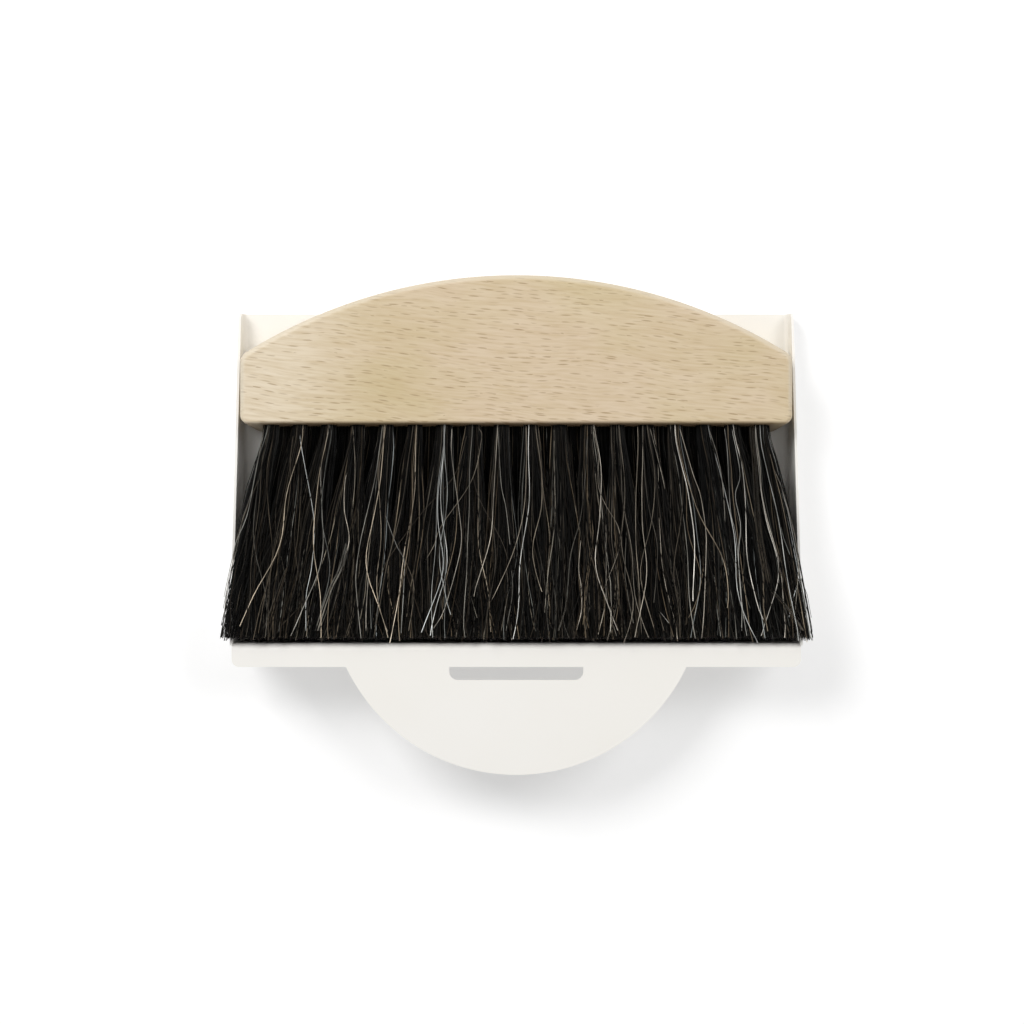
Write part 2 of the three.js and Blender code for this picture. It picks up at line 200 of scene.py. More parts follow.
def disc_mesh(name, low, high):
    """A disc that fills a box, with rounded rims."""
    turns = 2 * math.pi * np.arange(DISC_SIDES) / DISC_SIDES
    unit_ring = np.column_stack([np.cos(turns), np.sin(turns), np.zeros(DISC_SIDES)])
    quarter = np.linspace(0, math.pi / 2, RIM_STEPS + 1)
    radii = (high.x - low.x) / 2 - RIM_ROUND * (1 - np.sin(quarter))
    heights = RIM_ROUND * (1 - np.cos(quarter))
    profile = [(r, low.z + z) for r, z in zip(radii, heights)]
    profile += [(r, high.z - z) for r, z in zip(radii[::-1], heights[::-1])]
    middle = ((low.x + high.x) / 2, (low.y + high.y) / 2)
    mesh = skin(name, [r * unit_ring + (*middle, z) for r, z in profile])
    mesh.shade_smooth()
    return mesh


nickel = nickel_plating()
for side in ("left", "right"):
    node = f"magnet_{side}"
    magnet = link_piece(f"magnet_disc_{side}", disc_mesh(f"magnet_disc_{side}", *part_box(node)), nickel)
    magnet.modifiers.new("normals", "WEIGHTED_NORMAL")
    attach(magnet, "brush")
    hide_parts(node)


# ---- Brush block ----
# Solid beech, sawn to an arched back and a bristle face that leans outwards at its foot, drilled
# for the tufts, with its long edges rounded over on a spindle moulder, then sanded and oiled.
# It is flat-sawn, so its rays end as short dark dashes on the broad faces.

BLOCK_DEPTH = 0.0599  # bristle face's upper edge to the crown of the arched back
BLOCK_END_DEPTH = 0.0274  # bristle face's upper edge to where the arch meets the ends
FACE_LEAN = 0.0028  # how much further the bristle face reaches at its lower edge
EDGE_ROUND = 0.0026
FACE_EDGE_ROUND = 0.0015  # the edges at the bristle face are sharper than the others
SHOULDER_RADIUS = 0.0026  # the flat faces' corners under the arch
CORNER_RADIUS = 0.0034  # the block's corners at the bristle face, on top
FOOT_RADIUS = 0.0082  # and at the foot
ROUND_STEPS = 7
CORNER_STEPS = 10
BACK_STEPS = 96

ROWS = 4
TOP_ROW = ROWS - 1
TUFTS = 18  # in the top row. Every other row has one less
TUFT_PITCH = 0.01163
FIRST_ROW = 0.00728  # the lowest row's height
ROW_PITCH = 0.00535
HOLE_RADIUS = 0.0030
HOLE_DEPTH = 0.012
HOLE_SIDES = 32
POCKET_GAP = 0.0003  # glue round a magnet

BEECH_COLOUR = "#d1c09f"
BEECH_LATE = "#c7b58e"  # denser late wood
BEECH_PINK = "#d5c1a7"  # steamed wood is pinker in places
BEECH_SAP = "#dfd1b9"  # paler wood at the left end
BEECH_LINE = "#b59c71"  # strings of pores
BEECH_RAY = "#8f7450"  # the ends of the rays
BEECH_EDGE_SHEEN = "#dcd2bf"  # painted sheen, paler where the wood is rounded over and catches the light
BEECH_FACE_SHADE = "#56390f"  # painted shade on the bristle face, deepest where the tufts stand
BEECH_GLOSS = (0.42, 0.58)  # roughness between the pores and in them
PORE_BUMP = (0.25, 0.00008)

GRAIN_SLOPE = math.radians(5.5)  # the grain runs down to the right
GRAIN_SWAY = 0.0022  # how far the grain swings from a straight line
SWAY_LENGTH = 0.032
RING_WIDTH = 0.016  # growth rings, cut at a low angle, drift over this width
PATCH = 0.05  # and pink patches over this one
LINE_LENGTH = 0.014  # strings of pores along the grain
LINE_WIDTH = 0.0009  # real ones are 0.1 mm, too fine to show

# Late wood, pink patches and pore lines: size, scale along, across and in depth, detail, where in
# the noise they start and where they are full, and strength
WOOD_NOISES = [
    (RING_WIDTH, (0.12, 1, 1.6), 2.0, (0.3, 0.7), 1.0),
    (PATCH, (0.6, 1, 1), 3.0, (0.45, 0.65), 0.8),
    (LINE_WIDTH, (LINE_WIDTH / LINE_LENGTH, 1, 1), 2.0, (0.36, 0.74), 0.44),
]
SAP_END = (-0.112, -0.055)  # where the paler wood starts and ends

RAY_PITCH = (0.0064, 0.0020, 0.0100)  # one ray in each such cell, along, across and in depth
RAY_HALF = (0.0030, 0.00036, 0.0100)  # half of a ray's length, width and depth
RAY_SPAN = (1.0, 0.4)  # a ray fades in from its rim to this share of its half sizes
RAY_STRENGTH = 0.66  # of the strongest rays
SIDE_RAYS = 0.25  # how strong the rays are on the sides
RAYS_FULL = 0.25  # of the rounding, off the flat faces, within which the rays are at full strength

EDGE_SHEEN_STRENGTH = 0.5
FLAT_TOP = 0.00001  # how far below the top the wood still counts as flat
PALE_FULL = 0.125  # of the rounding, below the top, where the painted sheen is full
PALE_ENDS = (3, 1)  # roundings below the top, where the painted sheen ends on the sides and where it is full
EDGE_STARTS = (0.003, 0.010)  # behind the bristle face, where the painted sheen starts and where it is full
FACE_SHADE_STRENGTH = 0.8
FACE_SHADE_ENDS = (0.0011, -0.0001)  # behind the bristle face, where its painted shade ends and where it is full
TUFT_SHADE_END = (0.1045, 0.1025)  # out from the middle, where the deeper painted shade among the tufts ends and where it is full
BARE_SHADE_SHARE = 0.6  # of the painted shade's strength, beside the tufts

block_low, block_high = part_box("brush_block")
FACE_Y = block_high.y - BLOCK_DEPTH  # the bristle face at its upper edge


def arc(centre, radius, start, sweep, steps):
    """Points on an arc, in the XY plane, as rows of an array."""
    angles = start + sweep * np.arange(steps + 1) / steps
    return np.array(centre) + radius * np.column_stack([np.cos(angles), np.sin(angles)])


def face_at(z):
    """Where the bristle face stands at a height."""
    return FACE_Y - FACE_LEAN * (block_high.z - z) / (block_high.z - block_low.z)


def inset_at(depth, radius):
    """How far a rounded edge has drawn in from the side, at a depth below the flat face."""
    return radius - math.sqrt(radius**2 - max(radius - depth, 0) ** 2)


def block_plan(z, depth):
    """The block's plan at a height, which lies at a depth behind the nearer flat face."""
    share = (z - block_low.z) / (block_high.z - block_low.z)
    inset = inset_at(depth, EDGE_ROUND)
    rise = BLOCK_DEPTH - BLOCK_END_DEPTH
    back_radius = (block_high.x**2 + rise**2) / (2 * rise)
    back_y = block_high.y - back_radius
    back = back_radius - EDGE_ROUND
    radius = FOOT_RADIUS + (CORNER_RADIUS - FOOT_RADIUS) * share - inset
    corner_x = block_high.x - inset - radius
    corner_y = face_at(z) + inset_at(depth, FACE_EDGE_ROUND) + radius
    shoulder_x = block_high.x - EDGE_ROUND - SHOULDER_RADIUS
    shoulder_y = back_y + math.sqrt((back - SHOULDER_RADIUS) ** 2 - shoulder_x**2)
    turn = math.atan2(shoulder_y - back_y, shoulder_x)
    shoulder = SHOULDER_RADIUS + EDGE_ROUND - inset
    quarter = math.pi / 2
    return np.vstack(
        [
            arc((-corner_x, corner_y), radius, 2 * quarter, quarter, CORNER_STEPS),
            arc((corner_x, corner_y), radius, 3 * quarter, quarter, CORNER_STEPS),
            arc((shoulder_x, shoulder_y), shoulder, 0, turn, CORNER_STEPS),
            arc((0, back_y), back_radius - inset, turn, math.pi - 2 * turn, BACK_STEPS)[1:-1],
            arc((-shoulder_x, shoulder_y), shoulder, math.pi - turn, turn, CORNER_STEPS),
        ]
    )


def block_mesh():
    """Rings of the plan, from the lower flat face by the rounded edges to the upper one."""
    turns = np.linspace(0, math.pi / 2, ROUND_STEPS + 1)
    outer = EDGE_ROUND * (1 - np.cos(turns))
    near_face = FACE_EDGE_ROUND * (1 - np.cos(turns[1:]))
    depths = sorted({*outer.tolist(), *near_face.tolist()})
    levels = [(block_low.z + depth, depth) for depth in depths]
    levels += [(block_high.z - depth, depth) for depth in reversed(depths)]
    plans = [(z, block_plan(z, depth)) for z, depth in levels]
    return skin("beech_block", [np.column_stack([plan, np.full(len(plan), z)]) for z, plan in plans])


def new_geometry_tree(name, **inputs):
    """A Geometry Nodes tree with named inputs of each kind, and its inputs' sockets."""
    tree = bpy.data.node_groups.new(name, "GeometryNodeTree")
    for kind, labels in inputs.items():
        for label in labels:
            tree.interface.new_socket(label, in_out="INPUT", socket_type=f"NodeSocket{kind}")
    tree.interface.new_socket("Result", in_out="OUTPUT", socket_type="NodeSocketGeometry")
    return tree, add(tree, "NodeGroupInput").outputs


def grown(name, mesh, tree, values):
    """What a node tree makes of a mesh and these values, as a plain mesh."""
    holder = bpy.data.objects.new(f"{name}_holder", mesh)
    bpy.context.scene.collection.objects.link(holder)
    modifier = holder.modifiers.new("nodes", "NODES")
    modifier.node_group = tree
    for label, value in values.items():
        modifier[tree.interface.items_tree[label].identifier] = value
    depsgraph = bpy.context.evaluated_depsgraph_get()
    result = bpy.data.meshes.new_from_object(holder.evaluated_get(depsgraph))
    holder.modifiers.remove(modifier)
    bpy.data.objects.remove(holder)
    result.name = name
    return result


def drilling_tree():
    """Drills staggered rows of tuft holes, square to the bristle face, and two magnet pockets."""
    tree, given = new_geometry_tree(
        "drilling",
        Geometry=["Block"],
        Int=["Rows", "Tufts", "Sides"],
        Float=[
            "Pitch", "First row", "Row pitch", "Foot height", "Top height", "Foot face", "Top face",
            "Hole turn", "Hole radius", "Hole depth",
            "Pocket spacing", "Pocket place", "Pocket radius", "Pocket depth",
        ],
        Material=["Wood"],
    )

    # Which row, and which hole in it. Every other row, counted from the top one, has one less
    count = add(tree, "ShaderNodeMath", {0: given["Rows"], 1: given["Tufts"]}, operation="MULTIPLY")
    points = add(tree, "GeometryNodePoints", {"Count": count})
    index = add(tree, "GeometryNodeInputIndex")
    row = add(tree, "FunctionNodeIntegerMath", {0: index, 1: given["Tufts"]}, operation="DIVIDE_FLOOR")
    hole = add(tree, "FunctionNodeIntegerMath", {0: index, 1: given["Tufts"]}, operation="MODULO")
    below = add(tree, "FunctionNodeIntegerMath", {0: given["Rows"], 1: row}, operation="SUBTRACT")
    whole = add(tree, "FunctionNodeIntegerMath", {0: below, 1: 2}, operation="MODULO")
    fewer = add(tree, "FunctionNodeIntegerMath", {0: 1, 1: whole}, operation="SUBTRACT")
    holes = add(tree, "FunctionNodeIntegerMath", {0: given["Tufts"], 1: fewer}, operation="SUBTRACT")
    past = {"operation": "GREATER_EQUAL", "data_type": "FLOAT"}
    spare = add(tree, "FunctionNodeCompare", {"A": hole, "B": holes}, **past)

    # Where it is, on the leaning face
    middle = add(tree, "ShaderNodeMath", {0: holes, 1: 0.5, 2: -0.5}, operation="MULTIPLY_ADD")
    places_out = add(tree, "ShaderNodeMath", {0: hole, 1: middle}, operation="SUBTRACT")
    x = add(tree, "ShaderNodeMath", {0: places_out, 1: given["Pitch"]}, operation="MULTIPLY")
    rows = {0: row, 1: given["Row pitch"], 2: given["First row"]}
    z = add(tree, "ShaderNodeMath", rows, operation="MULTIPLY_ADD")
    lean = {1: given["Foot height"], 2: given["Top height"], 3: given["Foot face"], 4: given["Top face"]}
    y = add(tree, "ShaderNodeMapRange", {0: z, **lean})
    spot = add(tree, "ShaderNodeCombineXYZ", {"X": x, "Y": y, "Z": z})
    placed = add(tree, "GeometryNodeSetPosition", {"Geometry": points, "Position": spot})
    bores = add(tree, "GeometryNodeDeleteGeometry", {"Geometry": placed, "Selection": spare})
    square = add(tree, "ShaderNodeCombineXYZ", {"X": given["Hole turn"]})

    # The two pockets in the underside
    pair = add(tree, "GeometryNodePoints", {"Count": 2})
    half_out = add(tree, "ShaderNodeMath", {0: index, 1: 0.5}, operation="SUBTRACT")
    out = add(tree, "ShaderNodeMath", {0: half_out, 1: given["Pocket spacing"]}, operation="MULTIPLY")
    at = {"X": out, "Y": given["Pocket place"], "Z": given["Foot height"]}
    spot = add(tree, "ShaderNodeCombineXYZ", at)
    pockets = add(tree, "GeometryNodeSetPosition", {"Geometry": pair, "Position": spot})

    # A cutter stands half outside the wood, so it is twice as long as its hole is deep
    cutters = []
    for name, places, turn in (("Hole", bores, square), ("Pocket", pockets, (0, 0, 0))):
        size = {"Vertices": given["Sides"], "Radius": given[f"{name} radius"]}
        long = add(tree, "ShaderNodeMath", {0: given[f"{name} depth"], 1: 2.0}, operation="MULTIPLY")
        cutter = add(tree, "GeometryNodeMeshCylinder", {**size, "Depth": long})
        at = {"Points": places, "Instance": cutter, "Rotation": turn}
        cutters.append(add(tree, "GeometryNodeInstanceOnPoints", at))

    joined = add(tree, "GeometryNodeJoinGeometry", {"Geometry": cutters})
    solid = add(tree, "GeometryNodeRealizeInstances", {"Geometry": joined})
    cut = {"operation": "DIFFERENCE", "solver": "EXACT"}
    drilled = add(tree, "GeometryNodeMeshBoolean", {"Mesh 1": given["Block"], "Mesh 2": solid}, **cut)
    dressed = add(tree, "GeometryNodeSetMaterial", {"Geometry": drilled, "Material": given["Wood"]})
    add(tree, "NodeGroupOutput", {"Result": dressed})
    return tree


def beech():
    """Flat-sawn beech, steamed and oiled: even and pale, with pore lines and dashes of ray, a painted
    sheen on its rounded edges and painted shade on its bristle face.
    """
    material, tree = new_material("beech_sanded_and_oiled")
    place = add(tree, "ShaderNodeTexCoord").outputs["Object"]
    sloped = add(tree, "ShaderNodeMapping", {"Vector": place, "Rotation": (0, 0, GRAIN_SLOPE)})
    sway = add(tree, "ShaderNodeTexNoise", {"Vector": sloped, "Scale": 1 / SWAY_LENGTH, "Detail": 1.0})
    about = {0: sway.outputs["Color"], 1: (0.5, 0.5, 0.5)}
    shift = add(tree, "ShaderNodeVectorMath", about, operation="SUBTRACT")
    swayed = {0: shift, 1: (0, 2 * GRAIN_SWAY, 2 * GRAIN_SWAY), 2: sloped}
    grain = add(tree, "ShaderNodeVectorMath", swayed, operation="MULTIPLY_ADD")

    shares = []
    for size, scale, detail, (start, full), strength in WOOD_NOISES:
        at = add(tree, "ShaderNodeMapping", {"Vector": grain, "Scale": scale})
        noise = add(tree, "ShaderNodeTexNoise", {"Vector": at, "Scale": 1 / size, "Detail": detail})
        shares.append(add(tree, "ShaderNodeMapRange", {0: noise, 1: start, 2: full, 4: strength}))
    late, pink, lined = shares
    pores = noise  # the last one in the list
    along = add(tree, "ShaderNodeSeparateXYZ", {0: grain})
    to_left = {0: along, 1: SAP_END[1], 2: SAP_END[0]}
    sap = add(tree, "ShaderNodeMapRange", to_left, interpolation_type="SMOOTHSTEP")

    # One ray in each cell: how far away its middle is, in its own half sizes
    in_cells = {0: grain, 1: tuple(1 / size for size in RAY_PITCH)}
    cells = add(tree, "ShaderNodeVectorMath", in_cells, operation="MULTIPLY")
    nearest = add(tree, "ShaderNodeTexVoronoi", {"Vector": cells, "Scale": 1.0})
    apart = {0: cells, 1: nearest.outputs["Position"]}
    away = add(tree, "ShaderNodeVectorMath", apart, operation="SUBTRACT")
    in_halves = {0: away, 1: tuple(pitch / half for pitch, half in zip(RAY_PITCH, RAY_HALF))}
    shape = add(tree, "ShaderNodeVectorMath", in_halves, operation="MULTIPLY")
    reach = add(tree, "ShaderNodeVectorMath", {0: shape}, operation="LENGTH")
    from_rim = {0: reach.outputs["Value"], 1: RAY_SPAN[0], 2: RAY_SPAN[1]}
    ray = add(tree, "ShaderNodeMapRange", from_rim, interpolation_type="SMOOTHSTEP")
    chance = add(tree, "ShaderNodeSeparateColor", {0: nearest.outputs["Color"]})
    strong = add(tree, "ShaderNodeMapRange", {0: chance, 3: 0.0, 4: RAY_STRENGTH})
    crossed = add(tree, "ShaderNodeMath", {0: ray, 1: strong}, operation="MULTIPLY")

    # The sides are cut along the rays, which are broad and faint there
    spot = add(tree, "ShaderNodeSeparateXYZ", {0: place}).outputs
    middle = (block_high.z + block_low.z) / 2
    half = block_high.z - middle
    up = add(tree, "ShaderNodeMath", {0: spot["Z"], 1: middle}, operation="SUBTRACT")
    level = add(tree, "ShaderNodeMath", {0: up}, operation="ABSOLUTE")
    to_flat = {0: level, 1: half - EDGE_ROUND, 2: half - RAYS_FULL * EDGE_ROUND, 3: SIDE_RAYS}
    flat = add(tree, "ShaderNodeMapRange", to_flat)
    rays = add(tree, "ShaderNodeMath", {0: crossed, 1: flat}, operation="MULTIPLY")

    # A painted sheen on the rounded upper edges, from the flat top down to the sides, but not at the
    # bristle face
    top = block_high.z
    from_top = {0: spot["Z"], 1: top - FLAT_TOP, 2: top - PALE_FULL * EDGE_ROUND, 4: EDGE_SHEEN_STRENGTH}
    rounded = add(tree, "ShaderNodeMapRange", from_top)
    from_side = {0: spot["Z"], 1: top - PALE_ENDS[0] * EDGE_ROUND, 2: top - PALE_ENDS[1] * EDGE_ROUND}
    above = add(tree, "ShaderNodeMapRange", from_side)
    from_face = {0: spot["Y"], 1: FACE_Y + EDGE_STARTS[0], 2: FACE_Y + EDGE_STARTS[1]}
    behind = add(tree, "ShaderNodeMapRange", from_face)
    near_top = add(tree, "ShaderNodeMath", {0: rounded, 1: above}, operation="MULTIPLY")
    edge = add(tree, "ShaderNodeMath", {0: near_top, 1: behind}, operation="MULTIPLY")

    # Painted shade on the bristle face, deepest where the tufts stand and lighter beside them
    out = add(tree, "ShaderNodeMath", {0: spot["X"]}, operation="ABSOLUTE")
    to_tufts = {0: out, 1: TUFT_SHADE_END[0], 2: TUFT_SHADE_END[1], 3: BARE_SHADE_SHARE}
    tuft_shade = add(tree, "ShaderNodeMapRange", to_tufts)
    to_face = {0: spot["Y"], 1: FACE_Y + FACE_SHADE_ENDS[0], 2: FACE_Y + FACE_SHADE_ENDS[1], 4: FACE_SHADE_STRENGTH}
    on_shaded_face = add(tree, "ShaderNodeMapRange", to_face)
    face = add(tree, "ShaderNodeMath", {0: tuft_shade, 1: on_shaded_face}, operation="MULTIPLY")

    # The last two mixes paint light: a sheen on the rounded edges and shade on the bristle face
    colour = linear(BEECH_COLOUR)
    for share, over in (
        (late, BEECH_LATE),
        (pink, BEECH_PINK),
        (sap, BEECH_SAP),
        (lined, BEECH_LINE),
        (rays, BEECH_RAY),
        (edge, BEECH_EDGE_SHEEN),
        (face, BEECH_FACE_SHADE),
    ):
        ends = {"Factor": share, 6: colour, 7: linear(over)}
        colour = add(tree, "ShaderNodeMix", ends, data_type="RGBA").outputs["Result"]
    give_surface(tree, colour, pores, (0, 1), BEECH_GLOSS, PORE_BUMP)
    return material


wood = beech()
left_low, left_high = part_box("magnet_left")
magnet_x = (left_low.x + left_high.x) / 2
drilled_block = grown(
    "beech_block",
    block_mesh(),
    drilling_tree(),
    {
        "Rows": ROWS,
        "Tufts": TUFTS,
        "Sides": HOLE_SIDES,
        "Pitch": TUFT_PITCH,
        "First row": FIRST_ROW,
        "Row pitch": ROW_PITCH,
        "Foot height": block_low.z,
        "Top height": block_high.z,
        "Foot face": FACE_Y - FACE_LEAN,
        "Top face": FACE_Y,
        "Hole turn": math.pi / 2 - math.atan2(FACE_LEAN, block_high.z - block_low.z),
        "Hole radius": HOLE_RADIUS,
        "Hole depth": HOLE_DEPTH,
        "Pocket spacing": -2 * magnet_x,
        "Pocket place": (left_low.y + left_high.y) / 2,
        "Pocket radius": (left_high.x - left_low.x) / 2 + POCKET_GAP,
        "Pocket depth": left_high.z - left_low.z + POCKET_GAP,
        "Wood": wood,
    },
)
drilled_block.shade_smooth()
drilled_block.set_sharp_from_angle(angle=SHARP_ANGLE)
block = link_piece("beech_block", drilled_block, wood)
normals = block.modifiers.new("normals", "WEIGHTED_NORMAL")
normals.keep_sharp = True
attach(block, "brush")
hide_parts("brush_block")


# ---- Bristles ----
# A dark horsehair mix in four staggered rows. Each tuft is folded double into its drilled hole,
# held by a wire staple, and spreads until it meets its neighbours. The hairs are then
# trimmed to one line, and here and there a pale hair of the mix lies across the others.

HAIRS_PER_TUFT = 190
HAIR_STATIONS = 10
SIDES = 3  # of a hair
HAIR_WIDTH = 0.00036  # real hairs are about 0.25 mm. These are thicker and fewer
HAIR_ENDS = (0.5, 0.38)  # a hair's radius at its root and at its tip, as shares of its width
GIRTHS = (0.85, 1.15)  # of the darkest and of the palest hairs
ROOT_DEPTH = 0.004  # how deep the hairs are followed into their hole
TIP_LINE = -0.0452  # where the trimmed tips end

# How far a tuft has spread, and how far its row has fanned out, at a share of the hairs' length
SPREAD = [(0, 0), (0.045, 0.0), (0.16, 0.17), (0.45, 0.58), (1, 1)]
FANNED = [(0, 0), (0.045, 0.0), (0.25, 0.24), (0.5, 0.52), (1, 1)]

# From the lowest row to the top one: where the tips are, how far the outer tufts lean out, how
# late the row rises towards its tips, and how deep its hairs lie against the pan's side walls
ROW_SHAPES = [
    {"Tip height": 0.0052, "Tip half height": 0.0030, "Fan": 1.060, "Rise": 1.0, "Press": 0.0020},
    {"Tip height": 0.0150, "Tip half height": 0.0056, "Fan": 1.060, "Rise": 1.6, "Press": 0.0020},
    {"Tip height": 0.0252, "Tip half height": 0.0062, "Fan": 1.100, "Rise": 2.2, "Press": 0.0030},
    {"Tip height": 0.0345, "Tip half height": 0.0022, "Fan": 1.145, "Rise": 1.0, "Press": 0.0040},
]
FIRST_SEED = 4
SEED_STEP = 10  # each row draws three seeds, so the rows' seeds lie further apart

SHEET = 0.001
WALL_LEAN = math.radians(2.9)
INNER_HALF = 0.1124  # between the pan's side walls, at the floor
PAN_RIM = {"Rear": -0.0476, "Lip": 0.0867, "Rear rim": 0.032, "Lip rim": 0.009}

NOISE_STEP = 1.37  # noise has the same value at whole steps, so hairs are this far apart in it
NOISE_SPAN = 4.0  # what turns noise about its middle to about -1 to 1
LOCK_POWERS = (1.6, 0.6)  # the first darkens the tones of a black lock, the second lights a brown one
LOCK_WARMTH = 0.6  # how much of a hair's warmth comes from its lock
WARMTH_SPAN = (0.2, 0.8)  # of the two together

HAIR_IOR = 1.55
HAIR_SPECULAR = 0.07  # low, because the glints are drawn in the colour
COOL_TINT = (0.89, 1.0, 1.08, 1)  # times a hair's own colour
WARM_TINT = (1.17, 1.0, 0.79, 1)
HAIR_LENGTH = FACE_Y - TIP_LINE
GLINT_LENGTH = 0.011  # a hair twists, and shines, over about this length
GLINT_SPAN = (0.3, 0.7)  # of the noise
GLINTS = (0.45, 1.35)  # how dark and how bright the twist makes a hair
HAIRS_APART = 300  # tells hairs of almost the same tone apart
SHADED_ROOTS = 0.3  # the neighbours shade this share of the length


def shape_curve(node, points):
    """Gives a float curve its points."""
    curve = node.mapping.curves[0]
    for index, (x, y) in enumerate(points):
        if index < 2:
            curve.points[index].location = (x, y)
        else:
            curve.points.new(x, y)
    node.mapping.update()


def bristle_tree():
    """Hairs that leave their tuft's hole, spread, fan out and wander up to the trimmed tips."""
    tree, given = new_geometry_tree(
        "bristles",
        Int=["Tufts", "Hairs", "Stations", "Sides", "Locks", "Seed"],
        Float=[
            "Pitch", "Face", "Depth", "Length", "Scatter", "Overhang", "Evenness", "Rise", "Skew",
            "Root height", "Root half width", "Root half height",
            "Tip height", "Tip half width", "Tip half height",
            "Fan", "On top", "Bends", "Lock bends", "Width", "Floor", "Ceiling", "Inner half", "Lean",
            "Root outline", "Tip outline", "Rear", "Lip", "Rear rim", "Lip rim", "Rim blend",
            "Over rim", "Press",
        ],
        Vector=["Drift", "Wander", "Lock wander"],
        Material=["Hair"],
    )

    # One line of stations for each hair
    line = add(tree, "GeometryNodeCurvePrimitiveLine")
    stations = add(tree, "GeometryNodeResampleCurve", {"Curve": line, "Count": given["Stations"]})
    count = add(tree, "ShaderNodeMath", {0: given["Tufts"], 1: given["Hairs"]}, operation="MULTIPLY")
    roots = add(tree, "GeometryNodePoints", {"Count": count})
    copies = add(tree, "GeometryNodeInstanceOnPoints", {"Points": roots, "Instance": stations})
    lines = add(tree, "GeometryNodeRealizeInstances", {"Geometry": copies})

    # Which hair, which tuft, and where in the tuft
    hair = add(tree, "GeometryNodeCurveOfPoint").outputs["Curve Index"]
    along = add(tree, "GeometryNodeSplineParameter").outputs["Factor"]
    tuft = add(tree, "FunctionNodeIntegerMath", {0: hair, 1: given["Hairs"]}, operation="DIVIDE_FLOOR")
    middle = add(tree, "ShaderNodeMath", {0: given["Tufts"], 1: 0.5, 2: -0.5}, operation="MULTIPLY_ADD")
    places_out = add(tree, "ShaderNodeMath", {0: tuft, 1: middle}, operation="SUBTRACT")
    centre = add(tree, "ShaderNodeMath", {0: places_out, 1: given["Pitch"]}, operation="MULTIPLY")
    chances = []
    for draw in range(3):
        seed = add(tree, "ShaderNodeMath", {0: given["Seed"], 1: float(draw)}, operation="ADD")
        span = {0: (-1, -1, -1), 1: (1, 1, 1), "ID": hair, "Seed": seed}
        chances.append(add(tree, "FunctionNodeRandomValue", span, data_type="FLOAT_VECTOR"))
    in_tuft, strays, looks = chances
    part = add(tree, "ShaderNodeSeparateXYZ", {0: in_tuft}).outputs
    look = add(tree, "ShaderNodeSeparateXYZ", {0: looks}).outputs
    squared = add(tree, "ShaderNodeMath", {0: part["X"], 1: part["X"]}, operation="MULTIPLY")
    rest = add(tree, "ShaderNodeMath", {0: 1.0, 1: squared}, operation="SUBTRACT")
    round_part = add(tree, "ShaderNodeMath", {0: rest}, operation="SQRT")
    raised = add(tree, "ShaderNodeMix", {"Factor": given["On top"], 2: part["Y"], 3: 1.0})
    upward = add(tree, "ShaderNodeMath", {0: raised, 1: round_part}, operation="MULTIPLY")

    # How far the tuft has spread, and how far the row has fanned out, at each station
    spread = add(tree, "ShaderNodeFloatCurve", {"Value": along})
    shape_curve(spread, SPREAD)
    fanned = add(tree, "ShaderNodeFloatCurve", {"Value": along})
    shape_curve(fanned, FANNED)
    more = add(tree, "ShaderNodeMath", {0: given["Fan"], 1: 1.0}, operation="SUBTRACT")
    stretch = add(tree, "ShaderNodeMath", {0: fanned, 1: more, 2: 1.0}, operation="MULTIPLY_ADD")
    row_x = add(tree, "ShaderNodeMath", {0: centre, 1: stretch}, operation="MULTIPLY")
    risen = add(tree, "ShaderNodeMath", {0: along, 1: given["Rise"]}, operation="POWER")
    half_x, half_z, row_z, outline = (
        add(tree, "ShaderNodeMix", {"Factor": share, 2: given[f"Root {size}"], 3: given[f"Tip {size}"]})
        for share, size in (
            (spread, "half width"),
            (spread, "half height"),
            (risen, "height"),
            (fanned, "outline"),
        )
    )
    x = add(tree, "ShaderNodeMath", {0: part["X"], 1: half_x, 2: row_x}, operation="MULTIPLY_ADD")
    z = add(tree, "ShaderNodeMath", {0: upward, 1: half_z, 2: row_z}, operation="MULTIPLY_ADD")

    # Trimmed to one line, with a few hairs that end before it and a few past it
    short = add(tree, "ShaderNodeClamp", {"Value": look["X"]})
    long = add(tree, "ShaderNodeMapRange", {0: look["X"], 2: -1.0})
    ends = []
    for share, most in ((short, given["Scatter"]), (long, given["Overhang"])):
        few = add(tree, "ShaderNodeMath", {0: share, 1: given["Evenness"]}, operation="POWER")
        ends.append(add(tree, "ShaderNodeMath", {0: few, 1: most}, operation="MULTIPLY"))
    cut = add(tree, "ShaderNodeMath", {0: ends[0], 1: ends[1]}, operation="SUBTRACT")
    whole = add(tree, "ShaderNodeMath", {0: given["Length"], 1: given["Depth"]}, operation="ADD")
    reach = add(tree, "ShaderNodeMath", {0: whole, 1: cut}, operation="SUBTRACT")
    start = add(tree, "ShaderNodeMath", {0: given["Face"], 1: given["Depth"]}, operation="ADD")
    gone = add(tree, "ShaderNodeMath", {0: along, 1: reach}, operation="MULTIPLY")
    y = add(tree, "ShaderNodeMath", {0: start, 1: gone}, operation="SUBTRACT")
    straight = add(tree, "ShaderNodeCombineXYZ", {"X": x, "Y": y, "Z": z})

    # Each hair drifts off by itself
    later = add(tree, "ShaderNodeMath", {0: along, 1: along}, operation="MULTIPLY")
    off = add(tree, "ShaderNodeVectorMath", {0: strays, 1: given["Drift"]}, operation="MULTIPLY")
    drift = add(tree, "ShaderNodeVectorMath", {0: off, "Scale": later}, operation="SCALE")
    moved = add(tree, "ShaderNodeVectorMath", {0: straight, 1: drift}, operation="ADD")

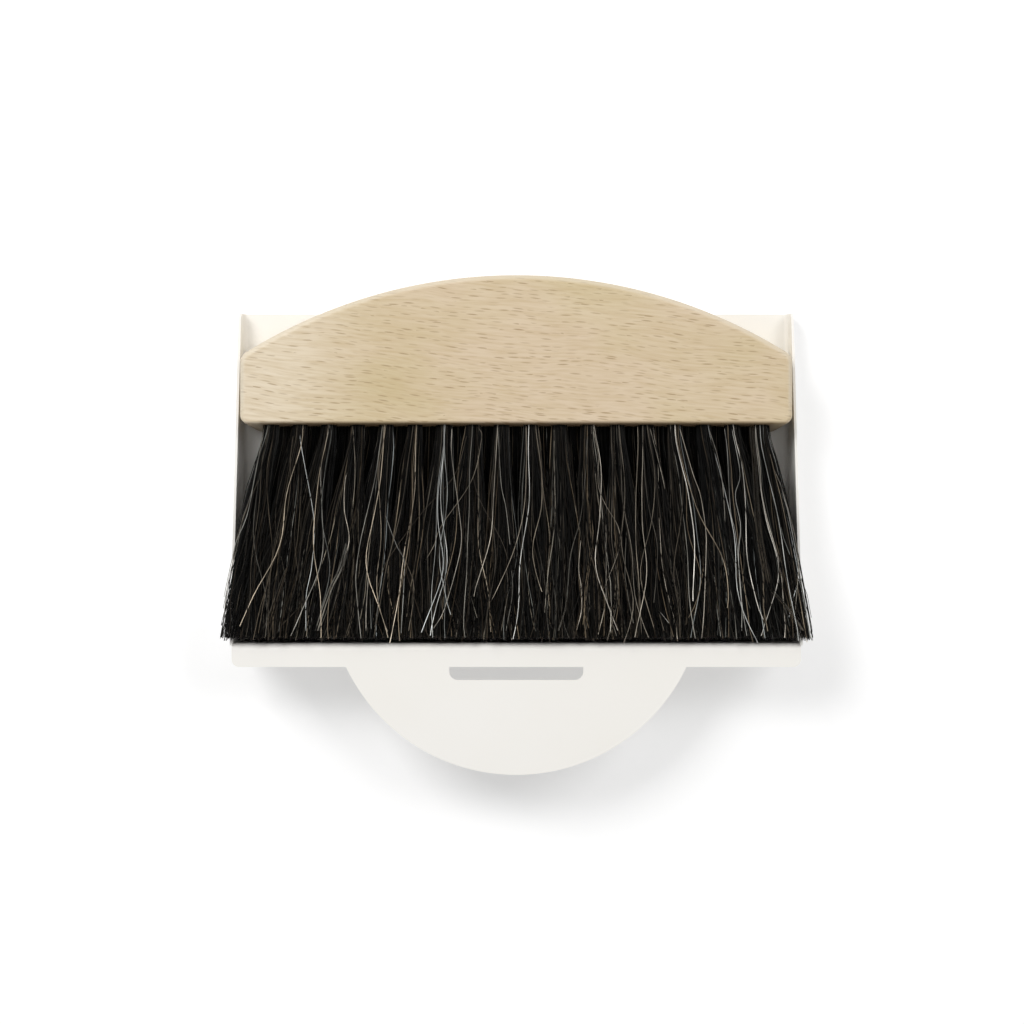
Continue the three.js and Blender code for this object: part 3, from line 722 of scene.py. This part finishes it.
    # It also wavers, and so does each lock of the tuft as one
    side = add(tree, "ShaderNodeMath", {0: part["X"], 1: 1.0}, operation="ADD")
    lock_share = add(tree, "ShaderNodeMath", {0: side, 1: given["Locks"]}, operation="MULTIPLY")
    lock_part = add(tree, "ShaderNodeMath", {0: lock_share}, operation="FLOOR")
    per_tuft = add(tree, "ShaderNodeMath", {0: given["Locks"], 1: 2.0}, operation="MULTIPLY")
    lock = add(tree, "ShaderNodeMath", {0: tuft, 1: per_tuft, 2: lock_part}, operation="MULTIPLY_ADD")
    for which, bends, size in (
        (hair, given["Bends"], given["Wander"]),
        (lock, given["Lock bends"], given["Lock wander"]),
    ):
        run = add(tree, "ShaderNodeMath", {0: along, 1: bends}, operation="MULTIPLY")
        apart = add(tree, "ShaderNodeMath", {0: which, 1: NOISE_STEP}, operation="MULTIPLY")
        set_off = add(tree, "ShaderNodeMath", {0: given["Seed"], 1: NOISE_STEP}, operation="MULTIPLY")
        at = add(tree, "ShaderNodeCombineXYZ", {"X": run, "Y": apart, "Z": set_off})
        noise = add(tree, "ShaderNodeTexNoise", {"Vector": at, "Scale": 1.0, "Detail": 0.0})
        centred = {0: noise.outputs["Color"], 1: (0.5, 0.5, 0.5)}
        about = add(tree, "ShaderNodeVectorMath", centred, operation="SUBTRACT")
        sized = add(tree, "ShaderNodeVectorMath", {0: about, 1: size}, operation="MULTIPLY")
        grows = add(tree, "ShaderNodeMath", {0: along, 1: NOISE_SPAN}, operation="MULTIPLY")
        offset = add(tree, "ShaderNodeVectorMath", {0: sized, "Scale": grows}, operation="SCALE")
        moved = add(tree, "ShaderNodeVectorMath", {0: moved, 1: offset}, operation="ADD")

    # The pan's rim falls from the rear to the lip. The hairs stay above the floor or the rim
    at = add(tree, "ShaderNodeSeparateXYZ", {0: moved}).outputs
    rims = {1: given["Rear"], 2: given["Lip"], 3: given["Rear rim"], 4: given["Lip rim"]}
    rim = add(tree, "ShaderNodeMapRange", {0: at["Y"], **rims})
    blended = add(tree, "ShaderNodeMath", {0: given["Width"], 1: given["Rim blend"]}, operation="ADD")
    over = add(tree, "ShaderNodeMath", {0: rim, 1: blended}, operation="ADD")
    least_z = add(tree, "ShaderNodeMix", {"Factor": given["Over rim"], 2: given["Floor"], 3: over})
    lowest = add(tree, "ShaderNodeMath", {0: at["Z"], 1: least_z}, operation="MAXIMUM")
    height = add(tree, "ShaderNodeMath", {0: lowest, 1: given["Ceiling"]}, operation="MINIMUM")

    # Below the rim the hairs press against the side wall, and above it they spill over
    above = add(tree, "ShaderNodeMath", {0: height, 1: rim}, operation="SUBTRACT")
    clear = add(tree, "ShaderNodeMath", {0: above, 1: given["Width"]}, operation="SUBTRACT")
    free = add(tree, "ShaderNodeMapRange", {0: clear, 2: given["Rim blend"]})
    leant = {0: height, 1: given["Lean"], 2: given["Inner half"]}
    wall = add(tree, "ShaderNodeMath", leant, operation="MULTIPLY_ADD")
    inside = add(tree, "ShaderNodeMath", {0: wall, 1: given["Width"]}, operation="SUBTRACT")
    loose = add(tree, "ShaderNodeMath", {0: part["Z"]}, operation="ABSOLUTE")
    back = add(tree, "ShaderNodeMath", {0: loose, 1: given["Press"]}, operation="MULTIPLY")
    in_air = add(tree, "ShaderNodeMath", {0: outline, 1: back}, operation="SUBTRACT")
    in_pan = add(tree, "ShaderNodeMath", {0: inside, 1: in_air}, operation="MINIMUM")
    most = add(tree, "ShaderNodeMix", {"Factor": free, 2: in_pan, 3: in_air})
    least = add(tree, "ShaderNodeMath", {0: most, 1: -1.0}, operation="MULTIPLY")
    held = add(tree, "ShaderNodeClamp", {"Value": at["X"], "Min": least, "Max": most})
    final = add(tree, "ShaderNodeCombineXYZ", {"X": held, "Y": at["Y"], "Z": height})
    placed = add(tree, "GeometryNodeSetPosition", {"Geometry": lines, "Position": final})

    # What the material needs: chances for tone and warmth, and the distance from the root.
    # Locks differ too, from black to a warm brown
    span = {2: 0.0, 3: 1.0, "ID": lock, "Seed": given["Seed"]}
    brown = add(tree, "FunctionNodeRandomValue", span, data_type="FLOAT").outputs[1]
    darkening = add(tree, "ShaderNodeMapRange", {0: brown, 3: LOCK_POWERS[0], 4: LOCK_POWERS[1]})
    power = add(tree, "ShaderNodeMath", {0: darkening, 1: given["Skew"]}, operation="MULTIPLY")
    even_tone = add(tree, "ShaderNodeMapRange", {0: look["Y"], 1: -1.0})
    tone = add(tree, "ShaderNodeMath", {0: even_tone, 1: power}, operation="POWER")
    hair_warmth = add(tree, "ShaderNodeMapRange", {0: look["Z"], 1: -1.0})
    both = add(tree, "ShaderNodeMix", {"Factor": LOCK_WARMTH, 2: hair_warmth, 3: brown})
    warmth = add(tree, "ShaderNodeMapRange", {0: both, 1: WARMTH_SPAN[0], 2: WARMTH_SPAN[1]})
    marked = placed
    for label, value in (("tone", tone), ("warmth", warmth), ("along", along)):
        mark = {"Geometry": marked, "Name": label, "Value": value}
        marked = add(tree, "GeometryNodeStoreNamedAttribute", mark)

    # A hair that tapers to its cut tip
    taper = add(tree, "ShaderNodeMapRange", {0: along, 3: HAIR_ENDS[0], 4: HAIR_ENDS[1]})
    girth = add(tree, "ShaderNodeMapRange", {0: tone, 3: GIRTHS[0], 4: GIRTHS[1]})
    thick = add(tree, "ShaderNodeMath", {0: taper, 1: girth}, operation="MULTIPLY")
    radius = add(tree, "ShaderNodeMath", {0: thick, 1: given["Width"]}, operation="MULTIPLY")
    ring = {"Resolution": given["Sides"], "Radius": 1.0}
    section = add(tree, "GeometryNodeCurvePrimitiveCircle", ring)
    sweep = {"Curve": marked, "Profile Curve": section, "Scale": radius, "Fill Caps": True}
    tubes = add(tree, "GeometryNodeCurveToMesh", sweep)
    smooth = add(tree, "GeometryNodeSetShadeSmooth", {"Geometry": tubes})
    solid = add(tree, "GeometryNodeRealizeInstances", {"Geometry": smooth})
    dressed = add(tree, "GeometryNodeSetMaterial", {"Geometry": solid, "Material": given["Hair"]})
    add(tree, "NodeGroupOutput", {"Result": dressed})
    return tree


def horsehair(name, stops, roughness, root_light, tip_light):
    """Undyed horsehair, washed and drawn straight: glossy scales, black to grey by chance."""
    material, tree = new_material(name)
    tone, warmth, along = (
        add(tree, "ShaderNodeAttribute", attribute_name=label).outputs["Fac"]
        for label in ("tone", "warmth", "along")
    )
    ramp = add(tree, "ShaderNodeValToRGB", {"Fac": tone})
    for index, (position, code) in enumerate(stops):
        stop = ramp.color_ramp.elements[index] if index < 2 else ramp.color_ramp.elements.new(position)
        stop.position = position
        stop.color = linear(code)
    tints = {"Factor": warmth, 6: COOL_TINT, 7: WARM_TINT}
    tint = add(tree, "ShaderNodeMix", tints, data_type="RGBA")
    toned = {0: ramp.outputs["Color"], 1: tint.outputs["Result"]}
    tinted = add(tree, "ShaderNodeVectorMath", toned, operation="MULTIPLY")

    # The light along a hair: it glints where it twists, and its root is shaded
    twist = add(tree, "ShaderNodeMath", {0: along, 1: HAIR_LENGTH / GLINT_LENGTH}, operation="MULTIPLY")
    apart = add(tree, "ShaderNodeMath", {0: tone, 1: HAIRS_APART}, operation="MULTIPLY")
    at = add(tree, "ShaderNodeCombineXYZ", {"X": twist, "Y": apart})
    glint = add(tree, "ShaderNodeTexNoise", {"Vector": at, "Scale": 1.0, "Detail": 1.0})
    span = {1: GLINT_SPAN[0], 2: GLINT_SPAN[1], 3: GLINTS[0], 4: GLINTS[1]}
    sheen = add(tree, "ShaderNodeMapRange", {0: glint, **span})
    span = {1: SHADED_ROOTS, 3: root_light, 4: tip_light}
    in_the_open = add(tree, "ShaderNodeMapRange", {0: along, **span})
    bright = add(tree, "ShaderNodeMath", {0: sheen, 1: in_the_open}, operation="MULTIPLY")
    colour = add(tree, "ShaderNodeVectorMath", {0: tinted, "Scale": bright}, operation="SCALE")
    gloss = {"Roughness": roughness, "IOR": HAIR_IOR, "Specular IOR Level": HAIR_SPECULAR}
    shader = add(tree, "ShaderNodeBsdfPrincipled", {"Base Color": colour, **gloss})
    add(tree, "ShaderNodeOutputMaterial", {"Surface": shader})
    return material


def lay_out(mesh, stations):
    """A UV map with a cell of a square grid for each hair: round it in U, along it in V."""
    margin = 0.1  # of a cell
    cap = 0.04  # how far a cut end reaches out along V, so that it has an area
    per_hair = SIDES * stations
    cells = math.ceil(math.sqrt(len(mesh.vertices) / per_hair))
    corners = np.empty(len(mesh.loops), np.int32)
    starts = np.empty(len(mesh.polygons), np.int32)
    totals = np.empty(len(mesh.polygons), np.int32)
    mesh.loops.foreach_get("vertex_index", corners)
    mesh.polygons.foreach_get("loop_start", starts)
    mesh.polygons.foreach_get("loop_total", totals)
    hair = corners // per_hair
    station = (corners % per_hair) // SIDES
    side = corners % SIDES
    face = np.repeat(np.arange(len(starts)), totals)
    wide = np.maximum.reduceat(side, starts) - np.minimum.reduceat(side, starts) == SIDES - 1
    is_end = (totals == SIDES)[face]
    u = np.where((side == 0) & wide[face] & ~is_end, SIDES, side) / SIDES
    v = station / (stations - 1)
    v += np.where(is_end & (side == 1), np.where(station == 0, -cap, cap), 0)
    inner = 1 - 2 * margin
    uv = np.column_stack(
        [(hair % cells + margin + inner * u) / cells, (hair // cells + margin + inner * v) / cells]
    )
    mesh.uv_layers.new(name="OFBake").uv.foreach_set("vector", uv.astype(np.float32).ravel())


def row_values(row):
    """What differs from row to row: the tufts, where they leave the bristle face, and its shape."""
    height = FIRST_ROW + row * ROW_PITCH
    return {
        **ROW_SHAPES[row],
        "Tufts": TUFTS - (TOP_ROW - row) % 2,
        "Root height": height,
        "Face": face_at(height),
        "Length": face_at(height) - TIP_LINE,
        "Over rim": float(row == TOP_ROW),
    }


bristles = bristle_tree()
shared_values = {
    **PAN_RIM,
    "Sides": SIDES,
    "Locks": 3,  # on each half of a tuft
    "Pitch": TUFT_PITCH,
    "Depth": ROOT_DEPTH,
    "Root half width": 0.0029,  # the hairs stay inside their hole
    "Root half height": 0.0026,
    "Tip half width": 0.0068,  # wider than half the pitch, so that tufts meet
    "Width": HAIR_WIDTH,
    "Floor": SHEET + 0.0006,  # no hair lies lower
    "Ceiling": 0.0377,  # or higher
    "Inner half": INNER_HALF - SHEET * math.tan(WALL_LEAN),
    "Lean": math.tan(WALL_LEAN),
    "Root outline": 0.1034,  # the brush's outline, out from the middle
    "Tip outline": 0.1188,
    "Rim blend": 0.0012,  # above the rim, over which the hairs are let go
    "Lock bends": 1.6,
}
dark_hair = horsehair(
    "horsehair_dark_mix",
    [
        (0.0, "#030202"),
        (0.45, "#060605"),
        (0.68, "#0f0e0d"),
        (0.82, "#1e1d1b"),
        (0.91, "#36332f"),
        (0.965, "#5b564e"),
        (0.99, "#837e75"),
        (1.0, "#b5b2ab"),
    ],
    roughness=0.42,
    root_light=0.7,
    tip_light=1.4,
)
for row in range(ROWS):
    name = f"bristles_{row + 1}"
    mesh = grown(
        name,
        bpy.data.meshes.new(name),
        bristles,
        {
            **shared_values,
            **row_values(row),
            "Stations": HAIR_STATIONS,
            "Hairs": HAIRS_PER_TUFT,
            "Seed": FIRST_SEED + row * SEED_STEP,
            "Scatter": 0.012,
            "Overhang": 0.0014,
            "Evenness": 3.0,
            "Skew": 1.0,
            "Bends": 2.4,
            "Drift": (0.0030, 0, 0.0010),
            "Wander": (0.0030, 0, 0.0010),
            "Lock wander": (0.0030, 0, 0.0008),
            "Hair": dark_hair,
        },
    )
    lay_out(mesh, HAIR_STATIONS)
    piece = link_piece(name, mesh, dark_hair)
    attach(piece, "brush")
    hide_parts(f"bristle_row_{row + 1}")


# ---- Stray hairs ----
# The pale hairs of the mix are stiffer than the dark ones. They have worked up to the top of the
# brush and lie across it in long bows, some white, some blond and some brown.

STRAYS_PER_TUFT = 8
STRAY_STATIONS = 22
STRAY_SEED = 71
LYING_STATIONS = 30
LYING_SEED = 12
LYING_WARMTHS = (0.2, 0.8)
ROOT_SKIN = 0.0256  # height of the brush's upper skin at the bristle face
TIP_SKIN = 0.0373  # and at the tips
SKIN_BOW = 0.8  # it rises a little faster at first
ON_THE_WAY = (0.1, 0.9)  # a hair that starts or ends between these shares of the way dives there
DIVE = 0.0035  # how far it goes down between the others
DIVE_SHARE = 0.16  # of its length
BUNCH = 0.0011  # how far the hairs of a bunch lie apart
BUNCH_DEPTH = 0.0004  # and how far they differ in depth
BUNCH_TONES = 0.1  # and in tone

# Tone, number of hairs, and places in mm: from the middle to the right, and from the bristle
# face towards the tips
LYING_HAIRS = [
    (0.95, 1, (-87, 0), (-87, 7), (-82, 33), (-81, 44), (-82, 58), (-84, 69), (-84, 83)),
    (0.62, 1, (-102, 3), (-106, 26), (-110, 39), (-112, 50), (-115, 62), (-117, 78)),
    (0.45, 1, (-102, 19), (-107, 31), (-112, 46), (-114, 58)),
    (0.40, 1, (-90, 5), (-91, 15), (-91, 28), (-94, 47), (-99, 61), (-103, 84)),
    (0.42, 2, (-91, 57), (-94, 65), (-100, 83)),
    (0.85, 1, (-68, 18), (-69, 25), (-69, 35), (-67, 46), (-69, 56)),
    (0.55, 5, (-67, 46), (-70, 58), (-74, 67), (-79, 83)),
    (0.60, 1, (-66, 1), (-65, 14), (-65, 25), (-66, 37)),
    (0.70, 1, (-54, 1), (-55, 9), (-57, 23), (-62, 45), (-64, 58), (-64, 67), (-62, 86)),
    (0.80, 1, (-59, 58), (-60, 75), (-60, 83)),
    (0.72, 1, (-53, 36), (-48, 49), (-45, 55), (-45, 65), (-46, 84)),
    (0.55, 1, (-47, 50), (-42, 61), (-41, 69), (-43, 83)),
    (0.35, 1, (-20, 5), (-25, 21), (-38, 36), (-49, 51), (-53, 58), (-57, 71)),
    (0.60, 1, (-15, 2), (-14, 6), (-18, 23), (-30, 41), (-33, 49), (-37, 56)),
    (0.78, 1, (-26, 2), (-26, 13), (-23, 35), (-22, 47), (-24, 58), (-29, 75), (-33, 82)),
    (0.33, 1, (-18, 18), (-15, 30), (-6, 47), (-3, 56)),
    (0.65, 1, (-7, 1), (-7, 9), (-6, 25), (-4, 35), (-2, 54)),
    (0.72, 1, (4, 1), (4, 18), (3, 35), (-1, 51), (-7, 65), (-11, 73)),
    (0.45, 2, (-3, 57), (-3, 68), (-6, 83)),
    (0.48, 2, (28, 5), (27, 21), (25, 38), (21, 53), (19, 73), (16, 83)),
    (0.62, 1, (31, 2), (33, 13), (33, 25), (36, 33), (41, 42), (41, 51), (34, 69)),
    (0.85, 1, (26, 46), (25, 58), (26, 66), (26, 75), (24, 83)),
    (0.60, 1, (36, 38), (36, 55), (36, 68), (38, 78), (40, 85)),
    (0.45, 1, (28, 37), (29, 49), (32, 61), (33, 71), (33, 83)),
    (0.66, 1, (49, 1), (49, 11), (48, 31), (48, 49), (49, 63), (50, 85)),
    (0.62, 1, (54, 2), (56, 10), (58, 18), (60, 27)),
    (0.80, 1, (66, 2), (71, 20), (74, 29), (76, 43), (76, 53), (75, 75), (74, 86)),
    (0.62, 1, (78, 3), (81, 13), (83, 25), (84, 43)),
    (0.70, 1, (84, 2), (85, 11), (86, 35), (88, 45), (90, 70), (90, 83)),
    (0.78, 1, (87, 2), (90, 20), (88, 29), (90, 41), (89, 53), (90, 71), (92, 85)),
    (0.30, 9, (95, 1), (96, 18), (97, 40), (99, 55), (101, 66)),
    (0.60, 1, (103, 16), (107, 27), (110, 38), (112, 47), (113, 58), (111, 79)),
    (0.35, 1, (-85, 72), (-89, 76), (-94, 81)),
    (0.75, 1, (57, 75), (61, 80)),
    (0.50, 1, (57, 76), (59, 83)),
    (0.42, 3, (102, 67), (108, 74), (114, 83)),
]


def smooth_line(places, steps):
    """Points on a smooth curve through the given places."""
    before_first = 2 * places[0] - places[1]
    past_last = 2 * places[-1] - places[-2]
    ends = np.vstack([before_first, places, past_last])
    at = np.linspace(0, len(places) - 1, steps)
    span = np.minimum(at.astype(int), len(places) - 2)
    t = (at - span)[:, None]
    a, b, c, d = (ends[span + shift] for shift in range(4))
    return b + 0.5 * t * (c - a + t * (2 * a - 5 * b + 4 * c - d + t * (3 * (b - c) + d - a)))


def lying_hair(places, chance):
    """A hair's stations on the upper skin. One that starts or ends on the way dives under."""
    plan = smooth_line(np.array(places) / 1000, LYING_STATIONS)  # in metres
    share = np.clip(plan[:, 1] / HAIR_LENGTH, 0, 1)
    z = ROOT_SKIN + (TIP_SKIN - ROOT_SKIN) * share**SKIN_BOW
    step = np.linspace(0, 1, LYING_STATIONS)
    if share[0] > ON_THE_WAY[0]:
        z -= DIVE * np.clip(1 - step / DIVE_SHARE, 0, 1) ** 2
    if share[-1] < ON_THE_WAY[1]:
        z -= DIVE * np.clip(1 - (1 - step) / DIVE_SHARE, 0, 1) ** 2
    apart = BUNCH * (chance[0] + chance[1] * step)
    return np.column_stack([plan[:, 0] + apart, FACE_Y - plan[:, 1], z - BUNCH_DEPTH * chance[2]])


def hair_tubes(name, lines, tones, warmths):
    """Hairs along lines of stations, with what their material needs."""
    hairs, stations, _ = lines.shape
    turn = 2 * np.pi * np.arange(SIDES) / SIDES
    section = np.column_stack([np.cos(turn), np.zeros(SIDES), np.sin(turn)])
    along = np.linspace(0, 1, stations)
    radius = HAIR_WIDTH * (HAIR_ENDS[0] + (HAIR_ENDS[1] - HAIR_ENDS[0]) * along)
    points = lines[:, :, None] + radius[None, :, None, None] * section
    faces = []
    for first in range(0, hairs * stations * SIDES, stations * SIDES):
        last = first + (stations - 1) * SIDES
        faces.append(tuple(range(first, first + SIDES)))
        faces.append(tuple(range(last, last + SIDES))[::-1])
        for ring in range(first, last, SIDES):
            for side in range(SIDES):
                beside = ring + (side + 1) % SIDES
                faces.append((ring + side, ring + side + SIDES, beside + SIDES, beside))
    mesh = bpy.data.meshes.new(name)
    mesh.from_pydata(points.reshape(-1, 3).tolist(), [], faces)
    mesh.shade_smooth()
    for label, values in (
        ("tone", np.repeat(tones, stations * SIDES)),
        ("warmth", np.repeat(warmths, stations * SIDES)),
        ("along", np.tile(np.repeat(along, SIDES), hairs)),
    ):
        mesh.attributes.new(label, "FLOAT", "POINT").data.foreach_set("value", values.astype(np.float32))
    return mesh


pale_hair = horsehair(
    "horsehair_pale_strays",
    [
        (0.0, "#13110f"),
        (0.25, "#302c27"),
        (0.45, "#5b564f"),
        (0.65, "#8c8881"),
        (0.82, "#bdbab5"),
        (1.0, "#f1f0ee"),
    ],
    roughness=0.45,
    root_light=0.7,
    tip_light=1.7,
)
mesh = grown(
    "stray_hairs",
    bpy.data.meshes.new("stray_hairs"),
    bristles,
    {
        **shared_values,
        **row_values(TOP_ROW),
        "Stations": STRAY_STATIONS,
        "Hairs": STRAYS_PER_TUFT,
        "Seed": STRAY_SEED,
        "Scatter": 0.020,
        "Overhang": 0.0022,
        "Evenness": 2.5,
        "Skew": 2.0,
        "Tip half height": 0.0038,
        "On top": 1.0,
        "Bends": 2.2,
        "Drift": (0.0090, 0, 0.0004),
        "Wander": (0.0060, 0, 0.0008),
        "Lock wander": (0.0026, 0, 0.0004),
        "Hair": pale_hair,
    },
)
lay_out(mesh, STRAY_STATIONS)
strays = link_piece("stray_hairs", mesh, pale_hair)

random = np.random.default_rng(LYING_SEED)
lines, tones = [], []
for tone, count, *places in LYING_HAIRS:
    for _ in range(count):
        chance = random.uniform(-1, 1, 3) if count > 1 else np.zeros(3)
        lines.append(lying_hair(places, chance))
        tones.append(tone + BUNCH_TONES * chance[2])
warmths = random.uniform(*LYING_WARMTHS, len(lines))
mesh = hair_tubes("lying_hairs", np.array(lines), np.array(tones), warmths)
lay_out(mesh, LYING_STATIONS)
lying = link_piece("lying_hairs", mesh, pale_hair)
for piece in (strays, lying):
    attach(piece, "brush")


# ---- Stage ----
# A plain white floor under a white surround, with a soft lamp behind the lip on the left and a
# weaker one on the right, and the camera straight above the set, as in the photograph.

FLOOR_HALF = 3.0
FLOOR_GAP = 0.0002  # keeps the floor just clear of the pan
AMBIENT = 0.440  # how bright the surround is as a light
LAMP_SIZE = 0.7

# Places, and powers in watts
LAMPS = {"softbox_left": ((-0.75, 0.75, 1.15), 12.7), "softbox_right": ((0.85, 0.60, 1.15), 7.0)}
CAMERA_PLACE = (-0.0017, 0.0050, 1.0500)
CAMERA_LENS = 89.2  # mm, on a sensor 36 mm wide
FLOOR_WHITE = (0.80, 0.80, 0.80, 1)
FLOOR_GLOW = (0.31, 0.66)  # brings the floor to white, where the lamps light it and where not
FLOOR_LIT = (0.35, 1.2)  # metres out, where the lamps' light starts to fall off, and is gone


def seen_directly(tree):
    """1 for rays from the camera, from a mirror or through glass, and 0 for light."""
    path = add(tree, "ShaderNodeLightPath").outputs
    rays = {0: path["Is Glossy Ray"], 1: path["Is Transmission Ray"]}
    mirrored = add(tree, "ShaderNodeMath", rays, operation="MAXIMUM")
    return add(tree, "ShaderNodeMath", {0: path["Is Camera Ray"], 1: mirrored}, operation="MAXIMUM")


def white_surround():
    """White to look at, and a dimmer, even light from all sides."""
    world = bpy.data.worlds.new("white_surround")
    bpy.context.scene.world = world
    world.use_nodes = True
    tree = world.node_tree
    tree.nodes.clear()
    strength = add(tree, "ShaderNodeMapRange", {0: seen_directly(tree), 3: AMBIENT, 4: 1.0})
    light = add(tree, "ShaderNodeBackground", {"Color": (1, 1, 1, 1), "Strength": strength})
    add(tree, "ShaderNodeOutputWorld", {"Surface": light})


def white_floor():
    """Matt white paper that takes the shadow, with just the glow that brings it to full white."""
    material, tree = new_material("white_floor")
    paper = add(tree, "ShaderNodeBsdfDiffuse", {"Color": FLOOR_WHITE})
    place = add(tree, "ShaderNodeTexCoord").outputs["Object"]
    out = add(tree, "ShaderNodeVectorMath", {0: place}, operation="LENGTH").outputs["Value"]
    fading = {0: out, 1: FLOOR_LIT[0], 2: FLOOR_LIT[1], 3: FLOOR_GLOW[0], 4: FLOOR_GLOW[1]}
    needed = add(tree, "ShaderNodeMapRange", fading)
    glow = add(tree, "ShaderNodeMath", {0: seen_directly(tree), 1: needed}, operation="MULTIPLY")
    white = add(tree, "ShaderNodeEmission", {"Color": (1, 1, 1, 1), "Strength": glow})
    both = add(tree, "ShaderNodeAddShader", {0: paper, 1: white})
    add(tree, "ShaderNodeOutputMaterial", {"Surface": both})
    return material


white_surround()
mesh = bpy.data.meshes.new("floor")
corners = [(-1, -1), (1, -1), (1, 1), (-1, 1)]
mesh.from_pydata(
    [(FLOOR_HALF * x, FLOOR_HALF * y, -FLOOR_GAP) for x, y in corners],
    [],
    [(0, 1, 2, 3)],
)
link_piece("floor", mesh, white_floor())

for name, (place, power) in LAMPS.items():
    lamp = bpy.data.lights.new(name, "AREA")
    lamp.size = LAMP_SIZE
    lamp.energy = power
    softbox = bpy.data.objects.new(name, lamp)
    softbox.location = place
    softbox.rotation_euler = softbox.location.to_track_quat("Z", "Y").to_euler()
    bpy.context.scene.collection.objects.link(softbox)

camera = bpy.data.objects.new("camera", bpy.data.cameras.new("camera"))
camera.data.lens = CAMERA_LENS
camera.location = CAMERA_PLACE
bpy.context.scene.collection.objects.link(camera)
bpy.context.scene.camera = camera
bpy.context.scene.view_settings.view_transform = "Standard"
